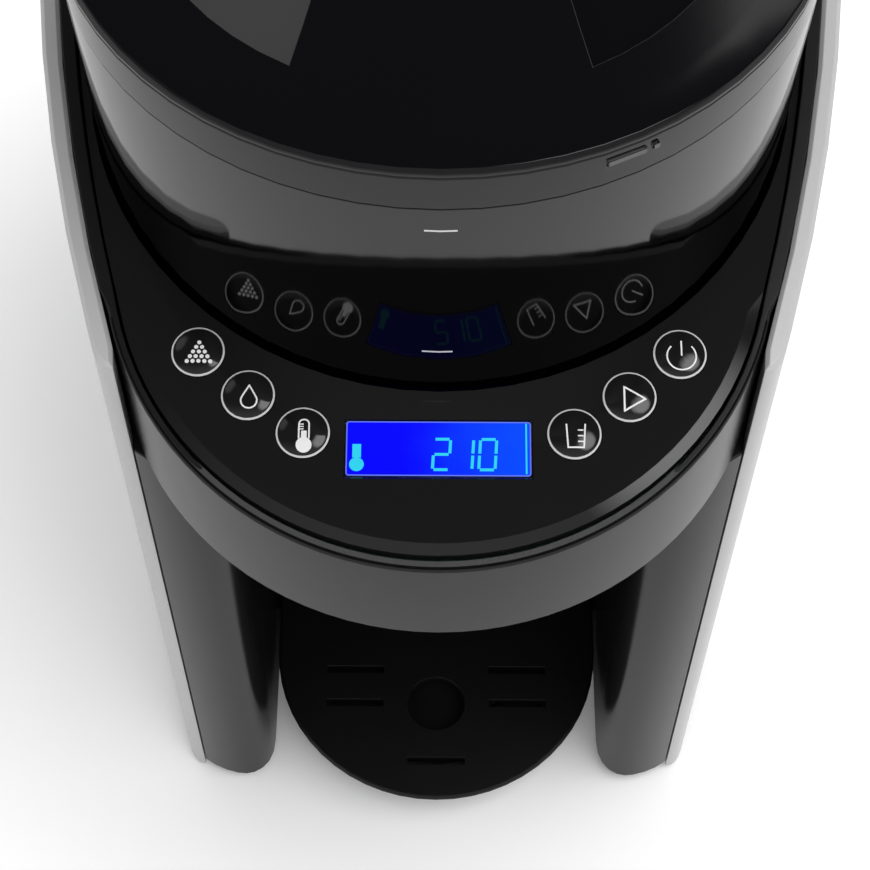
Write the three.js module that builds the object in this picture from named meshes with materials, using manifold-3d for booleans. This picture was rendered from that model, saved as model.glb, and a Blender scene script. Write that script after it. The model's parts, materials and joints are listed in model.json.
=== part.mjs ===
// Countertop machine that measures formula powder and warm water into a feeding bottle.
// Millimetres, +Z up, front towards -Y. The powder container's axis is the centre of the layout,
// and the whole object is then moved so that its footprint is centred on the origin.

import * as THREE from 'three';
import { mergeVertices } from 'three/addons/utils/BufferGeometryUtils.js';
import Module from 'manifold-3d';

const wasm = await Module();
wasm.setup();

// Driving sizes of the body

const bodyHalfWidth = 118;
const widestY = 70;
const sideArcRadius = 505;
const rearY = 176;
const rearCornerRadius = 38;
const panelThickness = 5.6;
const rimWidth = 3.8;
const seatGap = 0.3;
const runningGap = 0.15;
const overrun = 2;
const weldDistance = 1e-4;
const panelInner = panelThickness + seatGap;

// Driving heights

const footHeight = 3;
const bandBottomHeight = 227;
const panelRise = 66.2;
const panelHeightAtAxis = bandBottomHeight + panelRise;
const deckRise = 25;
const deckTopHeight = bandBottomHeight + deckRise;
const deckThickness = 3;
const deckBottom = deckTopHeight - deckThickness;
const containerHeight = 116.3;
const lidTopHeight = deckTopHeight + containerHeight;
const lidSkirtDepth = 14.3;
const lidSkirtHeight = lidTopHeight - lidSkirtDepth;
const lidGrooveDrop = 3.3;
const lidGrooveHeight = lidTopHeight - lidGrooveDrop;
const tankFloorDrop = 75;
const tankFloorHeight = bandBottomHeight - tankFloorDrop;

// Driving sizes of the head and its sloping control panel

const headY = -55.4;
const panelTilt = THREE.MathUtils.degToRad(10.2);
const rimTilt = THREE.MathUtils.degToRad(12.2);
const headFloorTilt = THREE.MathUtils.degToRad(6);
const joinY = -76;
const joinOverlap = 1.5;
const bandRadius = sideX(joinY) - panelInner + joinOverlap;
const bandFrontY = headY - bandRadius;
const bandWall = 2.6;
const bandTopDrop = 2.5;
const bandEdgeRound = 0.8;
const fasciaEdgeGap = 3.4;
const fasciaEdgeRadius = bandRadius - fasciaEdgeGap;
const fasciaEdgeWidth = 2.9;
const fasciaFlatRadius = fasciaEdgeRadius - fasciaEdgeWidth;
const fasciaEdgeDrop = 0.7;
const fasciaThickness = 3;

// Driving sizes of the two front columns and the bottle bay

const panelRoundY = -86.5;
const partLineY = -92.4;
const partLineInset = 0.5;
const partLineX = sideX(panelRoundY) - panelInner - partLineInset;
const noseTipY = -101;
const noseWidth = 11.8;
const noseTipX = partLineX - noseWidth;
const noseInnerY = -84;
const noseThickness = 14.4;
const bayHalfWidth = noseTipX - noseThickness;
const bayBackY = -28;
const bayWall = 4;

// Driving sizes of the base

const footRadius = 8;
const basePlateThickness = 3.4;
const footRecess = 1.2;

// Driving sizes of the powder container and its lid

const lidInset = 18;
const lidRadius = bodyHalfWidth - lidInset;
const lidEdgeRound = 1.1;
const lidCrown = 0.6;
const lidCrownWidth = 11;
const lidPlate = 3;
const lidWall = 2.2;
const wellDepth = 12.6;
const wellFloorTilt = THREE.MathUtils.degToRad(11);
const wellWall = 2.2;
const wellArcShare = 0.77;
const wellInnerFrontShare = 0.36;
const wellInnerMiddleShare = 0.27;
const wellFrontShare = 0.66;
const containerTaper = 2.4;
const containerFootRadius = lidRadius - containerTaper;
const containerWall = 2.4;
const containerFloor = 3;
const wellSideGap = 0.4;
const wellRadius = lidRadius - wellSideGap;

// Driving sizes of the bottle station

const outletInset = 23.5;
const outletY = outletInset - lidRadius;
const trayHeight = 24;
const traySideGap = 0.8;
const trayRadius = bayHalfWidth - traySideGap;
const trayBackset = 22.3;
const trayY = outletY + trayBackset;
const trayPlate = 2.6;

// Driving sizes of the water tank

const tankWall = 2.4;
const tankClearance = 0.6;
const tankFrontGap = 5;
const tankFrontRadius = lidRadius + tankFrontGap;
const tankFrontShare = 0.5;
const tankFrontY = lidRadius * tankFrontShare;
const shelfThickness = 4;
const headRearStep = 2;
const headRearY = tankFrontY - headRearStep;

// Numbers of straight steps in the curves

const roundSteps = 64;
const smallSteps = 20;
const fineSteps = 12;
const frontArcSteps = 40;
const sideSteps = 8;
const cornerSteps = 5;
const noseSteps = 9;
const funnelSteps = 24;
const trayArcSteps = 28;
const tankArcSteps = 16;
const wellSteps = 10;
const hoseSides = 6;
const hoseSteps = 18;
const hexSides = 6;

// Unit helpers

function flatPlane(height) {
  return () => height;
}

function slopedPlane(referenceY, referenceHeight, tilt, offset = 0) {
  return (x, y) => referenceHeight + offset + Math.tan(tilt) * (y - referenceY);
}

function panelPlane(offset = 0) {
  return slopedPlane(0, panelHeightAtAxis, panelTilt, offset);
}

function rimPlane(offset = 0) {
  const frontHeight = panelPlane(-bandTopDrop)(0, bandFrontY);
  return slopedPlane(bandFrontY, frontHeight, rimTilt, offset);
}

function headFloorPlane(offset = 0) {
  return slopedPlane(bandFrontY, bandBottomHeight, headFloorTilt, offset);
}

// Solid helpers

function toSolid(geometry) {
  const bare = geometry.clone();
  bare.deleteAttribute('normal');
  bare.deleteAttribute('uv');
  const joined = mergeVertices(bare, weldDistance);
  const corners = joined.index.array;
  const place = joined.attributes.position;
  const kept = [];
  let volume = 0;
  const [first, second, third] = [new THREE.Vector3(), new THREE.Vector3(), new THREE.Vector3()];
  for (let corner = 0; corner < corners.length; corner += 3) {
    const [a, b, c] = [corners[corner], corners[corner + 1], corners[corner + 2]];
    if (a === b || b === c || c === a) continue;
    kept.push(a, b, c);
    first.fromBufferAttribute(place, a);
    second.fromBufferAttribute(place, b);
    third.fromBufferAttribute(place, c);
    volume += first.dot(second.cross(third));
  }
  if (volume < 0) kept.reverse();
  const mesh = new wasm.Mesh({
    numProp: 3,
    vertProperties: Float32Array.from(place.array),
    triVerts: Uint32Array.from(kept),
  });
  return new wasm.Manifold(mesh);
}

function toGeometry(solid) {
  const mesh = solid.getMesh();
  const geometry = new THREE.BufferGeometry();
  geometry.setAttribute('position', new THREE.BufferAttribute(Float32Array.from(mesh.vertProperties), 3));
  geometry.setIndex(new THREE.BufferAttribute(Uint32Array.from(mesh.triVerts), 1));
  return geometry;
}

function joined(...solids) {
  return solids.reduce((whole, solid) => whole.add(solid));
}

function point(x, y) {
  return new THREE.Vector2(x, y);
}

// A closed solid through outlines of equal point count, each on its own surface.
function stack(levels) {
  const count = levels[0].outline.length;
  const positions = [];
  const triangles = [];
  for (const level of levels) {
    for (const { x, y } of level.outline) positions.push(x, y, level.height(x, y));
  }
  for (let level = 0; level < levels.length - 1; level += 1) {
    for (let index = 0; index < count; index += 1) {
      const next = (index + 1) % count;
      const [low, lowNext] = [level * count + index, level * count + next];
      const [high, highNext] = [low + count, lowNext + count];
      triangles.push(low, lowNext, highNext, low, highNext, high);
    }
  }
  const last = (levels.length - 1) * count;
  for (const [a, b, c] of THREE.ShapeUtils.triangulateShape(levels[0].outline, [])) {
    triangles.push(c, b, a);
  }
  for (const [a, b, c] of THREE.ShapeUtils.triangulateShape(levels[levels.length - 1].outline, [])) {
    triangles.push(last + a, last + b, last + c);
  }
  const geometry = new THREE.BufferGeometry();
  geometry.setAttribute('position', new THREE.Float32BufferAttribute(positions, 3));
  geometry.setIndex(triangles);
  return toSolid(geometry);
}

function slab(outline, low, high) {
  const ordered = THREE.ShapeUtils.isClockWise(outline) ? [...outline].reverse() : outline;
  return stack([
    { outline: ordered, height: typeof low === 'function' ? low : flatPlane(low) },
    { outline: ordered, height: typeof high === 'function' ? high : flatPlane(high) },
  ]);
}

function box(lowX, highX, lowY, highY, lowZ, highZ) {
  return slab([point(lowX, lowY), point(highX, lowY), point(highX, highY), point(lowX, highY)], lowZ, highZ);
}

function circle(radius, x = 0, y = 0, steps = smallSteps) {
  return Array.from({ length: steps }, (_, index) => {
    const angle = (2 * Math.PI * index) / steps;
    return point(x + radius * Math.cos(angle), y + radius * Math.sin(angle));
  });
}

function disc(radius, low, high, x = 0, y = 0, steps = smallSteps) {
  return slab(circle(radius, x, y, steps), low, high);
}

function ring(outerRadius, innerRadius, low, high, x = 0, y = 0, steps = smallSteps) {
  const outer = disc(outerRadius, low, high, x, y, steps);
  return outer.subtract(disc(innerRadius, low - overrun, high + overrun, x, y, steps));
}

// A profile of [radius, height] pairs turned about a vertical axis.
function revolve(profile, steps = smallSteps, x = 0, y = 0) {
  const geometry = new THREE.LatheGeometry(profile.map(([radius, height]) => point(radius, height)), steps);
  geometry.rotateX(Math.PI / 2);
  geometry.translate(x, y, 0);
  return toSolid(geometry);
}

function hose(points, radius, steps) {
  const path = new THREE.CatmullRomCurve3(points.map((place) => new THREE.Vector3(...place)));
  const shape = new THREE.Shape(circle(radius, 0, 0, hoseSides));
  return toSolid(new THREE.ExtrudeGeometry(shape, { steps, extrudePath: path, bevelEnabled: false }));
}

function moved(solid, matrix) {
  const geometry = toGeometry(solid);
  geometry.applyMatrix4(matrix);
  return toSolid(geometry);
}

function mirroredOutline(rightHalf) {
  const left = rightHalf.map(({ x, y }) => point(-x, y)).reverse();
  return [...rightHalf, ...left.filter(({ x }) => x < 0)];
}

function mirrorX(outline) {
  return outline.map(({ x, y }) => point(-x, y)).reverse();
}

// Plan curves of the body

function sideX(y) {
  return bodyHalfWidth - (y - widestY) ** 2 / (2 * sideArcRadius);
}

// The right-hand side line set in by a distance, from front to rear.
function sideLine(inset, fromY, toY, steps = sideSteps) {
  return Array.from({ length: steps + 1 }, (_, index) => {
    const y = fromY + ((toY - fromY) * index) / steps;
    return point(sideX(y) - inset, y);
  });
}

const cornerY = rearY - rearCornerRadius;
const cornerX = sideX(cornerY) - rearCornerRadius;
const rearPanelLap = 5.4;
const rearPanelEndX = cornerX - rearPanelLap;

// The rear right-hand corner set in by a distance, ending on the rear face.
function rearCorner(inset) {
  const radius = rearCornerRadius - inset;
  return Array.from({ length: cornerSteps }, (_, index) => {
    const angle = (Math.PI / 2) * ((index + 1) / cornerSteps);
    return point(cornerX + radius * Math.cos(angle), cornerY + radius * Math.sin(angle));
  });
}

const sideJoinStep = 6;

// The front curve of the head: an arc about the head's centre that runs into both side lines.
function headOutline(frontRadius, inset, endY) {
  const joinAngle = Math.asin((joinY - headY) / frontRadius);
  const arc = Array.from({ length: frontArcSteps + 1 }, (_, index) => {
    const angle = Math.PI - joinAngle + ((Math.PI + 2 * joinAngle) * index) / frontArcSteps;
    return point(frontRadius * Math.cos(angle), headY + frontRadius * Math.sin(angle));
  });
  const startY = joinY + sideJoinStep;
  const right = sideLine(inset, startY, endY);
  return [...arc, ...right, ...mirrorX(right)];
}

// Materials

function finish(color, roughness, metalness = 0, extra = {}) {
  return new THREE.MeshStandardMaterial({ color, roughness, metalness, ...extra });
}

const materials = {
  silverPanel: finish(0xcfd0d2, 0.36, 0.15),
  darkGloss: finish(0x35363a, 0.22, 0.1),
  bandGrey: finish(0x4c4d50, 0.3, 0.35),
  pianoBlack: finish(0x0d0d0f, 0.12),
  blackMatte: finish(0x121214, 0.6),
  smokeWall: finish(0x1c1c1e, 0.1),
  lidBlack: finish(0x0b0b0d, 0.18),
  rubber: finish(0x1a1a1a, 0.85),
  silicone: finish(0xd8d8d4, 0.6),
  displayBlue: finish(0x0014ff, 0.3, 0, { emissive: 0x0010ff }),
  windowClear: finish(0x101830, 0.06, 0, { transparent: true, opacity: 0.4 }),
  circuitGreen: finish(0x1c5a34, 0.55),
  whitePlastic: finish(0xe4e4e0, 0.45),
  smokeClear: finish(0x4a4f55, 0.08, 0, { transparent: true, opacity: 0.5 }),
  steel: finish(0xa8aaad, 0.3, 0.9),
  motorSteel: finish(0x8a8c90, 0.4, 0.8),
  brass: finish(0xb08d45, 0.35, 0.9),
  hoseClear: finish(0xdcdedc, 0.4, 0, { transparent: true, opacity: 0.8 }),
};

const nodes = [];

function addNode(name, solid, material) {
  const mesh = new THREE.Mesh(toGeometry(solid), material);
  mesh.name = name;
  nodes.push(mesh);
}

// Base plate and feet

const baseBottom = footHeight;
const baseTop = baseBottom + basePlateThickness;
const baseInset = 1.5;
const frontFootInset = 7;
const frontFootX = bayHalfWidth + footRadius + frontFootInset;
const frontFootY = -72;
const rearFootX = 82;
const rearFootY = 132;
const footPlaces = [
  ['foot_front_right', frontFootX, frontFootY],
  ['foot_front_left', -frontFootX, frontFootY],
  ['foot_rear_right', rearFootX, rearFootY],
  ['foot_rear_left', -rearFootX, rearFootY],
];

// The outline of one column from the bay's back corner, round the nose, to the side line.
function columnOutline(inset) {
  const nose = new THREE.CubicBezierCurve(
    point(bayHalfWidth + inset, noseInnerY),
    point(bayHalfWidth + inset, noseTipY + inset),
    point(noseTipX, noseTipY + inset),
    point(partLineX - inset, partLineY + inset));
  return nose.getPoints(noseSteps);
}

function columnHalf(inset) {
  return [
    point(bayHalfWidth + inset, bayBackY + inset),
    ...columnOutline(inset),
    ...sideLine(panelInner + inset, panelRoundY, bayBackY + bayWall),
  ];
}

function basePlate() {
  const half = [
    ...columnHalf(baseInset),
    ...sideLine(panelInner + baseInset, bayBackY + 2 * bayWall, cornerY),
    ...rearCorner(panelInner + baseInset),
  ];
  let plate = slab(mirroredOutline(half.reverse()), baseBottom, baseTop);
  for (const [, x, y] of footPlaces) {
    plate = plate.subtract(disc(footRadius + seatGap, baseBottom - overrun, baseBottom + footRecess, x, y));
  }
  return plate;
}

addNode('base_plate', basePlate(), materials.blackMatte);

const footEdge = 1;
for (const [name, x, y] of footPlaces) {
  const top = baseBottom + footRecess - seatGap;
  const profile = [[0, 0], [footRadius - footEdge, 0], [footRadius, footEdge], [footRadius, top], [0, top]];
  addNode(name, revolve(profile, smallSteps, x, y), materials.rubber);
}

// Front housing: two columns and the back wall of the bottle bay

const housingBottom = baseTop + seatGap;
const traySlotWidth = 12;
const traySlotHeight = 5;
const traySlotX = 30;
const traySlotLow = 15;
const traySlotPitch = 30;
const traySlotCount = 3;

function frontHousing() {
  const half = [...columnHalf(0), point(0, bayBackY + bayWall)];
  const outline = mirroredOutline([point(0, bayBackY), ...half]);
  let housing = slab(outline, housingBottom, headFloorPlane(-seatGap));
  for (const side of [-1, 1]) {
    for (let index = 0; index < traySlotCount; index += 1) {
      const x = side * traySlotX;
      const height = traySlotLow + index * traySlotPitch;
      housing = housing.subtract(box(
        x - traySlotWidth / 2, x + traySlotWidth / 2,
        bayBackY - overrun, bayBackY + bayWall + overrun,
        height - traySlotHeight / 2, height + traySlotHeight / 2));
    }
  }
  return housing;
}

addNode('front_housing', frontHousing(), materials.darkGloss);

// Side panels

const panelEdgeRound = 1.2;

function sidePanelOutline(shrink) {
  const front = new THREE.QuadraticBezierCurve(
    point(partLineX + seatGap + shrink, partLineY + shrink),
    point(sideX(partLineY) - shrink, partLineY + shrink),
    point(sideX(panelRoundY) - shrink, panelRoundY));
  const outer = [
    ...front.getPoints(noseSteps),
    ...sideLine(shrink, panelRoundY + sideJoinStep, cornerY),
    ...rearCorner(shrink),
    point(rearPanelEndX, rearY - shrink),
  ];
  const inner = [
    point(rearPanelEndX, rearY - panelThickness + shrink),
    ...rearCorner(panelThickness - shrink).reverse(),
    ...sideLine(panelThickness - shrink, panelRoundY, cornerY).reverse(),
  ];
  return [...outer, ...inner];
}

function sidePanel() {
  return stack([
    { outline: sidePanelOutline(0), height: flatPlane(baseBottom) },
    { outline: sidePanelOutline(0), height: rimPlane(-panelEdgeRound) },
    { outline: sidePanelOutline(panelEdgeRound), height: rimPlane(0) },
  ]);
}

const mirrorMatrix = new THREE.Matrix4().makeScale(-1, 1, 1);
addNode('right_side_panel', sidePanel(), materials.silverPanel);
addNode('left_side_panel', moved(sidePanel(), mirrorMatrix), materials.silverPanel);

// Rear cover with its vents and the inlet bush

const ventCount = 9;
const ventPitch = 9;
const ventWidth = 3.2;
const coverTop = tankFloorHeight - seatGap;
const ventDrop = 32;
const ventLength = 50;
const ventHigh = coverTop - ventDrop;
const ventLow = ventHigh - ventLength;
const inletX = 45;
const inletHeight = 24;
const inletRadius = 6;
const inletCollar = 8.5;
const inletCollarThickness = 2.2;

// A short cylinder lying along Y.
function barrel(radius, lowY, highY, x, z, steps = smallSteps) {
  const geometry = new THREE.CylinderGeometry(radius, radius, highY - lowY, steps);
  geometry.translate(x, (lowY + highY) / 2, z);
  return toSolid(geometry);
}

function rearCover() {
  const edge = rearPanelEndX - seatGap;
  let cover = box(-edge, edge, rearY - panelThickness, rearY, housingBottom, coverTop);
  for (let index = 0; index < ventCount; index += 1) {
    const x = (index - (ventCount - 1) / 2) * ventPitch;
    cover = cover.subtract(box(
      x - ventWidth / 2, x + ventWidth / 2,
      rearY - panelThickness - overrun, rearY + overrun, ventLow, ventHigh));
  }
  return cover.subtract(barrel(
    inletRadius + seatGap, rearY - panelThickness - overrun, rearY + overrun, inletX, inletHeight));
}

addNode('rear_cover', rearCover(), materials.darkGloss);

function powerInlet() {
  const inside = rearY - panelThickness - inletCollarThickness - seatGap;
  return joined(
    barrel(inletRadius, inside, rearY, inletX, inletHeight),
    barrel(inletCollar, inside, inside + inletCollarThickness, inletX, inletHeight));
}

addNode('power_inlet', powerInlet(), materials.rubber);

// Head band: the grey ring below the control panel and the rims beside the powder container

function headBand() {
  const innerInset = panelInner + rimWidth;
  const outer = stack([
    { outline: headOutline(bandRadius - bandEdgeRound, panelInner, headRearY), height: headFloorPlane() },
    { outline: headOutline(bandRadius, panelInner, headRearY), height: headFloorPlane(2 * bandEdgeRound) },
    { outline: headOutline(bandRadius, panelInner, headRearY), height: rimPlane(-bandEdgeRound) },
    { outline: headOutline(bandRadius - bandEdgeRound, panelInner, headRearY), height: rimPlane(0) },
  ]);
  const hollow = slab(
    headOutline(bandRadius - bandWall, innerInset, headRearY + overrun),
    headFloorPlane(-overrun), rimPlane(overrun));
  return outer.subtract(hollow);
}

addNode('head_band', headBand(), materials.bandGrey);

// Control panel sheet with its button holes and display window

const panelInset = panelInner + rimWidth + 2 * seatGap;
const buttonRadius = 7.3;
const buttonGap = 0.25;

// Pairs of buttons by angle from the front and by share of the panel's radius about the head's centre.
const buttonPairs = [
  { names: ['powder_button', 'power_button'], angle: 62.9, share: 0.8446 },
  { names: ['water_button', 'start_button'], angle: 48.2, share: 0.792 },
  { names: ['temperature_button', 'volume_button'], angle: 32.7, share: 0.7723 },
];

function buttonPlace(pair, side) {
  const angle = THREE.MathUtils.degToRad(pair.angle);
  const reach = fasciaFlatRadius * pair.share;
  return [side * reach * Math.sin(angle), headY - reach * Math.cos(angle)];
}

const buttonPlaces = buttonPairs.flatMap((pair) => [
  [pair.names[0], ...buttonPlace(pair, -1)],
  [pair.names[1], ...buttonPlace(pair, 1)],
]);
const buttonDome = 1.1;
const buttonStem = 4;
const buttonStemRadius = 4.5;
const buttonTravel = 0.8;
const windowSideGap = 3.7;
const windowHalfWidth = buttonPlace(buttonPairs[2], 1)[0] - buttonRadius - windowSideGap;
const windowFrontMargin = 17.6;
const windowFrontY = headY - fasciaFlatRadius + windowFrontMargin;
const windowDepth = 16.4;
const windowRearY = windowFrontY + windowDepth;
const windowThickness = 1.4;
const windowLedge = 1.2;
const boardDrop = 9.6;
const boardThickness = 1.6;

// Places a solid drawn flat about the origin on the sloping panel at a plan position.
function panelMatrix(x, y) {
  const matrix = new THREE.Matrix4().makeTranslation(x, y, panelPlane()(x, y));
  return matrix.multiply(new THREE.Matrix4().makeRotationX(panelTilt));
}

function windowBlock(shrink, low, high) {
  const middleY = (windowFrontY + windowRearY) / 2;
  const halfDepth = (windowRearY - windowFrontY) / 2 / Math.cos(panelTilt) - shrink;
  const halfWidth = windowHalfWidth - shrink;
  return moved(box(-halfWidth, halfWidth, -halfDepth, halfDepth, low, high), panelMatrix(0, middleY));
}

function controlPanel() {
  let sheet = stack([
    { outline: headOutline(fasciaEdgeRadius, panelInset, headRearY), height: panelPlane(-fasciaThickness) },
    { outline: headOutline(fasciaEdgeRadius, panelInset, headRearY), height: panelPlane(-fasciaEdgeDrop) },
    { outline: headOutline(fasciaFlatRadius, panelInset, headRearY), height: panelPlane(0) },
  ]);
  sheet = sheet.subtract(disc(wellRadius, deckTopHeight, lidTopHeight, 0, 0, roundSteps));
  for (const [, x, y] of buttonPlaces) {
    const hole = disc(buttonRadius + buttonGap, -fasciaThickness - overrun, overrun);
    sheet = sheet.subtract(moved(hole, panelMatrix(x, y)));
  }
  sheet = sheet.subtract(windowBlock(windowLedge, -fasciaThickness - overrun, overrun));
  return sheet.subtract(windowBlock(0, -windowThickness - seatGap, overrun));
}

addNode('control_panel', controlPanel(), materials.pianoBlack);
addNode('display_window', windowBlock(seatGap, -windowThickness, 0), materials.windowClear);

const displayTop = -windowThickness - 2 * seatGap;
addNode('display_module', windowBlock(windowLedge + seatGap, seatGap - boardDrop, displayTop),
  materials.displayBlue);

const domeShares = [[0.82, 0.6], [0.45, 0.92], [0, 1]];

function panelButton() {
  const dome = domeShares.map(([wide, high]) => [buttonRadius * wide, buttonDome * high]);
  return revolve([
    [0, -fasciaThickness - buttonStem],
    [buttonStemRadius, -fasciaThickness - buttonStem],
    [buttonStemRadius, -fasciaThickness],
    [buttonRadius, -fasciaThickness],
    [buttonRadius, 0],
    ...dome,
  ], smallSteps);
}

for (const [name, x, y] of buttonPlaces) {
  addNode(name, moved(panelButton(), panelMatrix(x, y)), materials.pianoBlack);
}

// Control board: a crescent below the panel with one switch under each button

const boardMargin = 2;
const boardInnerRadius = wellRadius + boardMargin;
const boardSideMargin = 13;
const boardHalfWidth = buttonPlace(buttonPairs[0], 1)[0] + boardSideMargin;
const switchRadius = 3;

function controlBoard() {
  const switchTop = -fasciaThickness - buttonStem - buttonTravel - seatGap;
  let board = slab(
    circle(bandRadius - bandWall - boardMargin, 0, headY, roundSteps / 2),
    panelPlane(-boardDrop - boardThickness), panelPlane(-boardDrop));
  board = board.subtract(disc(boardInnerRadius, deckTopHeight - overrun, lidTopHeight, 0, 0, roundSteps / 2));
  board = board.intersect(box(-boardHalfWidth, boardHalfWidth, bandFrontY, outletY, 0, lidTopHeight));
  for (const [, x, y] of buttonPlaces) {
    const key = disc(switchRadius, -boardDrop - seatGap, switchTop, 0, 0, fineSteps);
    board = board.add(moved(key, panelMatrix(x, y)));
  }
  return board;
}

addNode('control_board', controlBoard(), materials.circuitGreen);

// Container deck with the drive bushing and the powder opening

const shaftRadius = 4;
const deckBushRadius = 8;
const deckBushDrop = 4;
const powderHoleRadius = 10;
const chuteWall = 1.6;

function containerDeck() {
  const frontRadius = bandRadius - bandWall - seatGap;
  const bushBottom = deckBottom - deckBushDrop;
  let deck = slab(headOutline(frontRadius, panelInset, headRearY), deckBottom, deckTopHeight);
  deck = deck.add(disc(wellRadius + chuteWall, deckBottom, deckTopHeight, 0, 0, roundSteps));
  deck = deck.intersect(slab(
    headOutline(frontRadius, panelInset, tankFrontRadius), deckBottom - overrun, deckTopHeight));
  deck = deck.add(disc(deckBushRadius, bushBottom, deckTopHeight));
  deck = deck.subtract(disc(shaftRadius + runningGap, bushBottom - overrun, deckTopHeight + overrun));
  return deck.subtract(disc(powderHoleRadius, deckBottom - overrun, deckTopHeight + overrun, 0, outletY));
}

addNode('container_deck', containerDeck(), materials.blackMatte);

// Head floor with the powder chute and the rails that carry the funnel drawer

const headFloorThickness = 2.4;
const headFloorLift = 0.4;
const chuteInner = 12;
const railSideGap = 11.1;
const railInner = bayHalfWidth - railSideGap;
const railWall = 3;
const railLip = 6;
const railLipThickness = 2.5;
const railSetback = 29;
const railFrontY = bandFrontY + railSetback;
const drawerDrop = 5;
const drawerTop = bandBottomHeight - drawerDrop;
const drawerThickness = 3.2;
const drawerBottom = drawerTop - drawerThickness;
const funnelInset = 10;
const funnelRadius = railInner - funnelInset;
const nozzleShare = 0.6;
const nozzleX = funnelRadius * nozzleShare;
const nozzleSetback = 14.5;
const nozzleY = outletY + nozzleSetback;
const nozzleRadius = 3.5;

function headFloor() {
  const margin = bandWall + seatGap;
  let floor = slab(
    headOutline(bandRadius - margin - bandEdgeRound, panelInset, bayBackY + bayWall),
    headFloorPlane(headFloorLift), headFloorPlane(headFloorLift + headFloorThickness));
  const chuteTop = deckBottom - seatGap;
  floor = floor.add(disc(chuteInner + chuteWall, bandBottomHeight, chuteTop, 0, outletY));
  floor = floor.subtract(disc(chuteInner, bandBottomHeight - overrun, chuteTop + overrun, 0, outletY));
  const low = drawerBottom - seatGap - railLipThickness;
  const rearEnd = bayBackY - seatGap;
  const wallTop = headFloorPlane(headFloorLift + headFloorThickness / 2);
  for (const side of [-1, 1]) {
    const [lipEdge, near, far] = [railInner - railLip, railInner, railInner + railWall].map((x) => side * x);
    const wall = slab(
      [point(near, railFrontY), point(far, railFrontY), point(far, rearEnd), point(near, rearEnd)],
      flatPlane(low), wallTop);
    const lip = box(Math.min(lipEdge, far), Math.max(lipEdge, far), railFrontY, rearEnd,
      low, low + railLipThickness);
    floor = joined(floor, wall, lip);
  }
  const nozzleHole = disc(nozzleRadius + seatGap, bandBottomHeight - overrun, deckBottom, nozzleX, nozzleY);
  return floor.subtract(nozzleHole);
}

addNode('head_floor', headFloor(), materials.blackMatte);

// Funnel drawer, mixing funnel and funnel cover

const drawerGap = 0.5;
const drawerFrontY = railFrontY - overrun;
const drawerLip = 7;
const funnelFlange = 4;
const funnelFlangeThickness = 2;
const funnelDepth = 24;
const funnelWall = 1.8;
const spoutRadius = 8;
const spoutLength = 16;
const coverThickness = 1.6;
const drawerStopGap = 2;

function funnelDrawer() {
  const edge = railInner - drawerGap;
  const plate = box(-edge, edge, drawerFrontY, bayBackY - drawerStopGap, drawerBottom, drawerTop);
  const lip = box(-edge, edge, drawerFrontY - railWall, drawerFrontY, drawerBottom - drawerLip, drawerTop);
  return joined(plate, lip).subtract(
    disc(funnelRadius + seatGap, drawerBottom - overrun, drawerTop + overrun, 0, outletY, funnelSteps));
}

function mixingFunnel() {
  const flangeLow = drawerTop + seatGap;
  const flangeHigh = flangeLow + funnelFlangeThickness;
  const coneLow = flangeLow - funnelDepth;
  const spoutLow = coneLow - spoutLength;
  return revolve([
    [spoutRadius - funnelWall, spoutLow],
    [spoutRadius, spoutLow],
    [spoutRadius, coneLow],
    [funnelRadius, flangeLow - funnelFlange],
    [funnelRadius, flangeLow],
    [funnelRadius + funnelFlange, flangeLow],
    [funnelRadius + funnelFlange, flangeHigh],
    [funnelRadius - funnelWall, flangeHigh],
    [funnelRadius - funnelWall, flangeLow - funnelFlange + funnelWall],
    [spoutRadius - funnelWall, coneLow + funnelWall],
    [spoutRadius - funnelWall, spoutLow],
  ], funnelSteps, 0, outletY);
}

function funnelCover() {
  const seat = drawerTop + seatGap + funnelFlangeThickness + seatGap;
  const reach = funnelRadius - funnelWall - seatGap;
  let cover = revolve([
    [0, seat],
    [reach - funnelWall, seat],
    [reach - funnelWall, seat - funnelFlange / 2],
    [reach, seat - funnelFlange / 2],
    [reach, seat],
    [funnelRadius, seat],
    [funnelRadius, seat + coverThickness],
    [0, seat + coverThickness],
  ], funnelSteps, 0, outletY);
  cover = cover.subtract(disc(chuteInner, seat - overrun, seat + overrun + coverThickness, 0, outletY));
  return cover.subtract(disc(nozzleRadius + 2 * drawerGap, seat - overrun, seat + overrun + coverThickness,
    nozzleX, nozzleY));
}

addNode('funnel_drawer', funnelDrawer(), materials.blackMatte);
addNode('mixing_funnel', mixingFunnel(), materials.smokeClear);
addNode('funnel_cover', funnelCover(), materials.whitePlastic);

// Bottle stand: a tongue on two hooks with a slotted plate on top

const trayTaper = 15;
const trayBottom = 1.2;
const trayRim = 2;
const trayHookDepth = 2.6;
const trayRearY = bayBackY - seatGap;
const drainRadius = 10.8;
const slotLengthShare = 0.355;
const slotLength = trayRadius * slotLengthShare;
const slotWidth = 2.8;
const slotSideShare = 0.508;
const slotX = trayRadius * slotSideShare;
const slotRearShare = 0.139;
const slotMiddleShare = 0.367;
const slotFrontShare = 0.755;
const [slotRearY, slotMiddleY, slotFrontY] = [slotRearShare, slotMiddleShare, slotFrontShare]
  .map((share) => trayY - trayRadius * share);
const traySlots = [
  [-slotX, slotRearY], [slotX, slotRearY], [-slotX, slotMiddleY], [slotX, slotMiddleY], [0, slotFrontY],
];

function trayOutline(shrink) {
  const radius = trayRadius - shrink;
  const arc = Array.from({ length: trayArcSteps + 1 }, (_, index) => {
    const angle = Math.PI + (Math.PI * index) / trayArcSteps;
    return point(radius * Math.cos(angle), trayY + radius * Math.sin(angle));
  });
  return [...arc, point(radius, trayRearY), point(-radius, trayRearY)];
}

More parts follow.
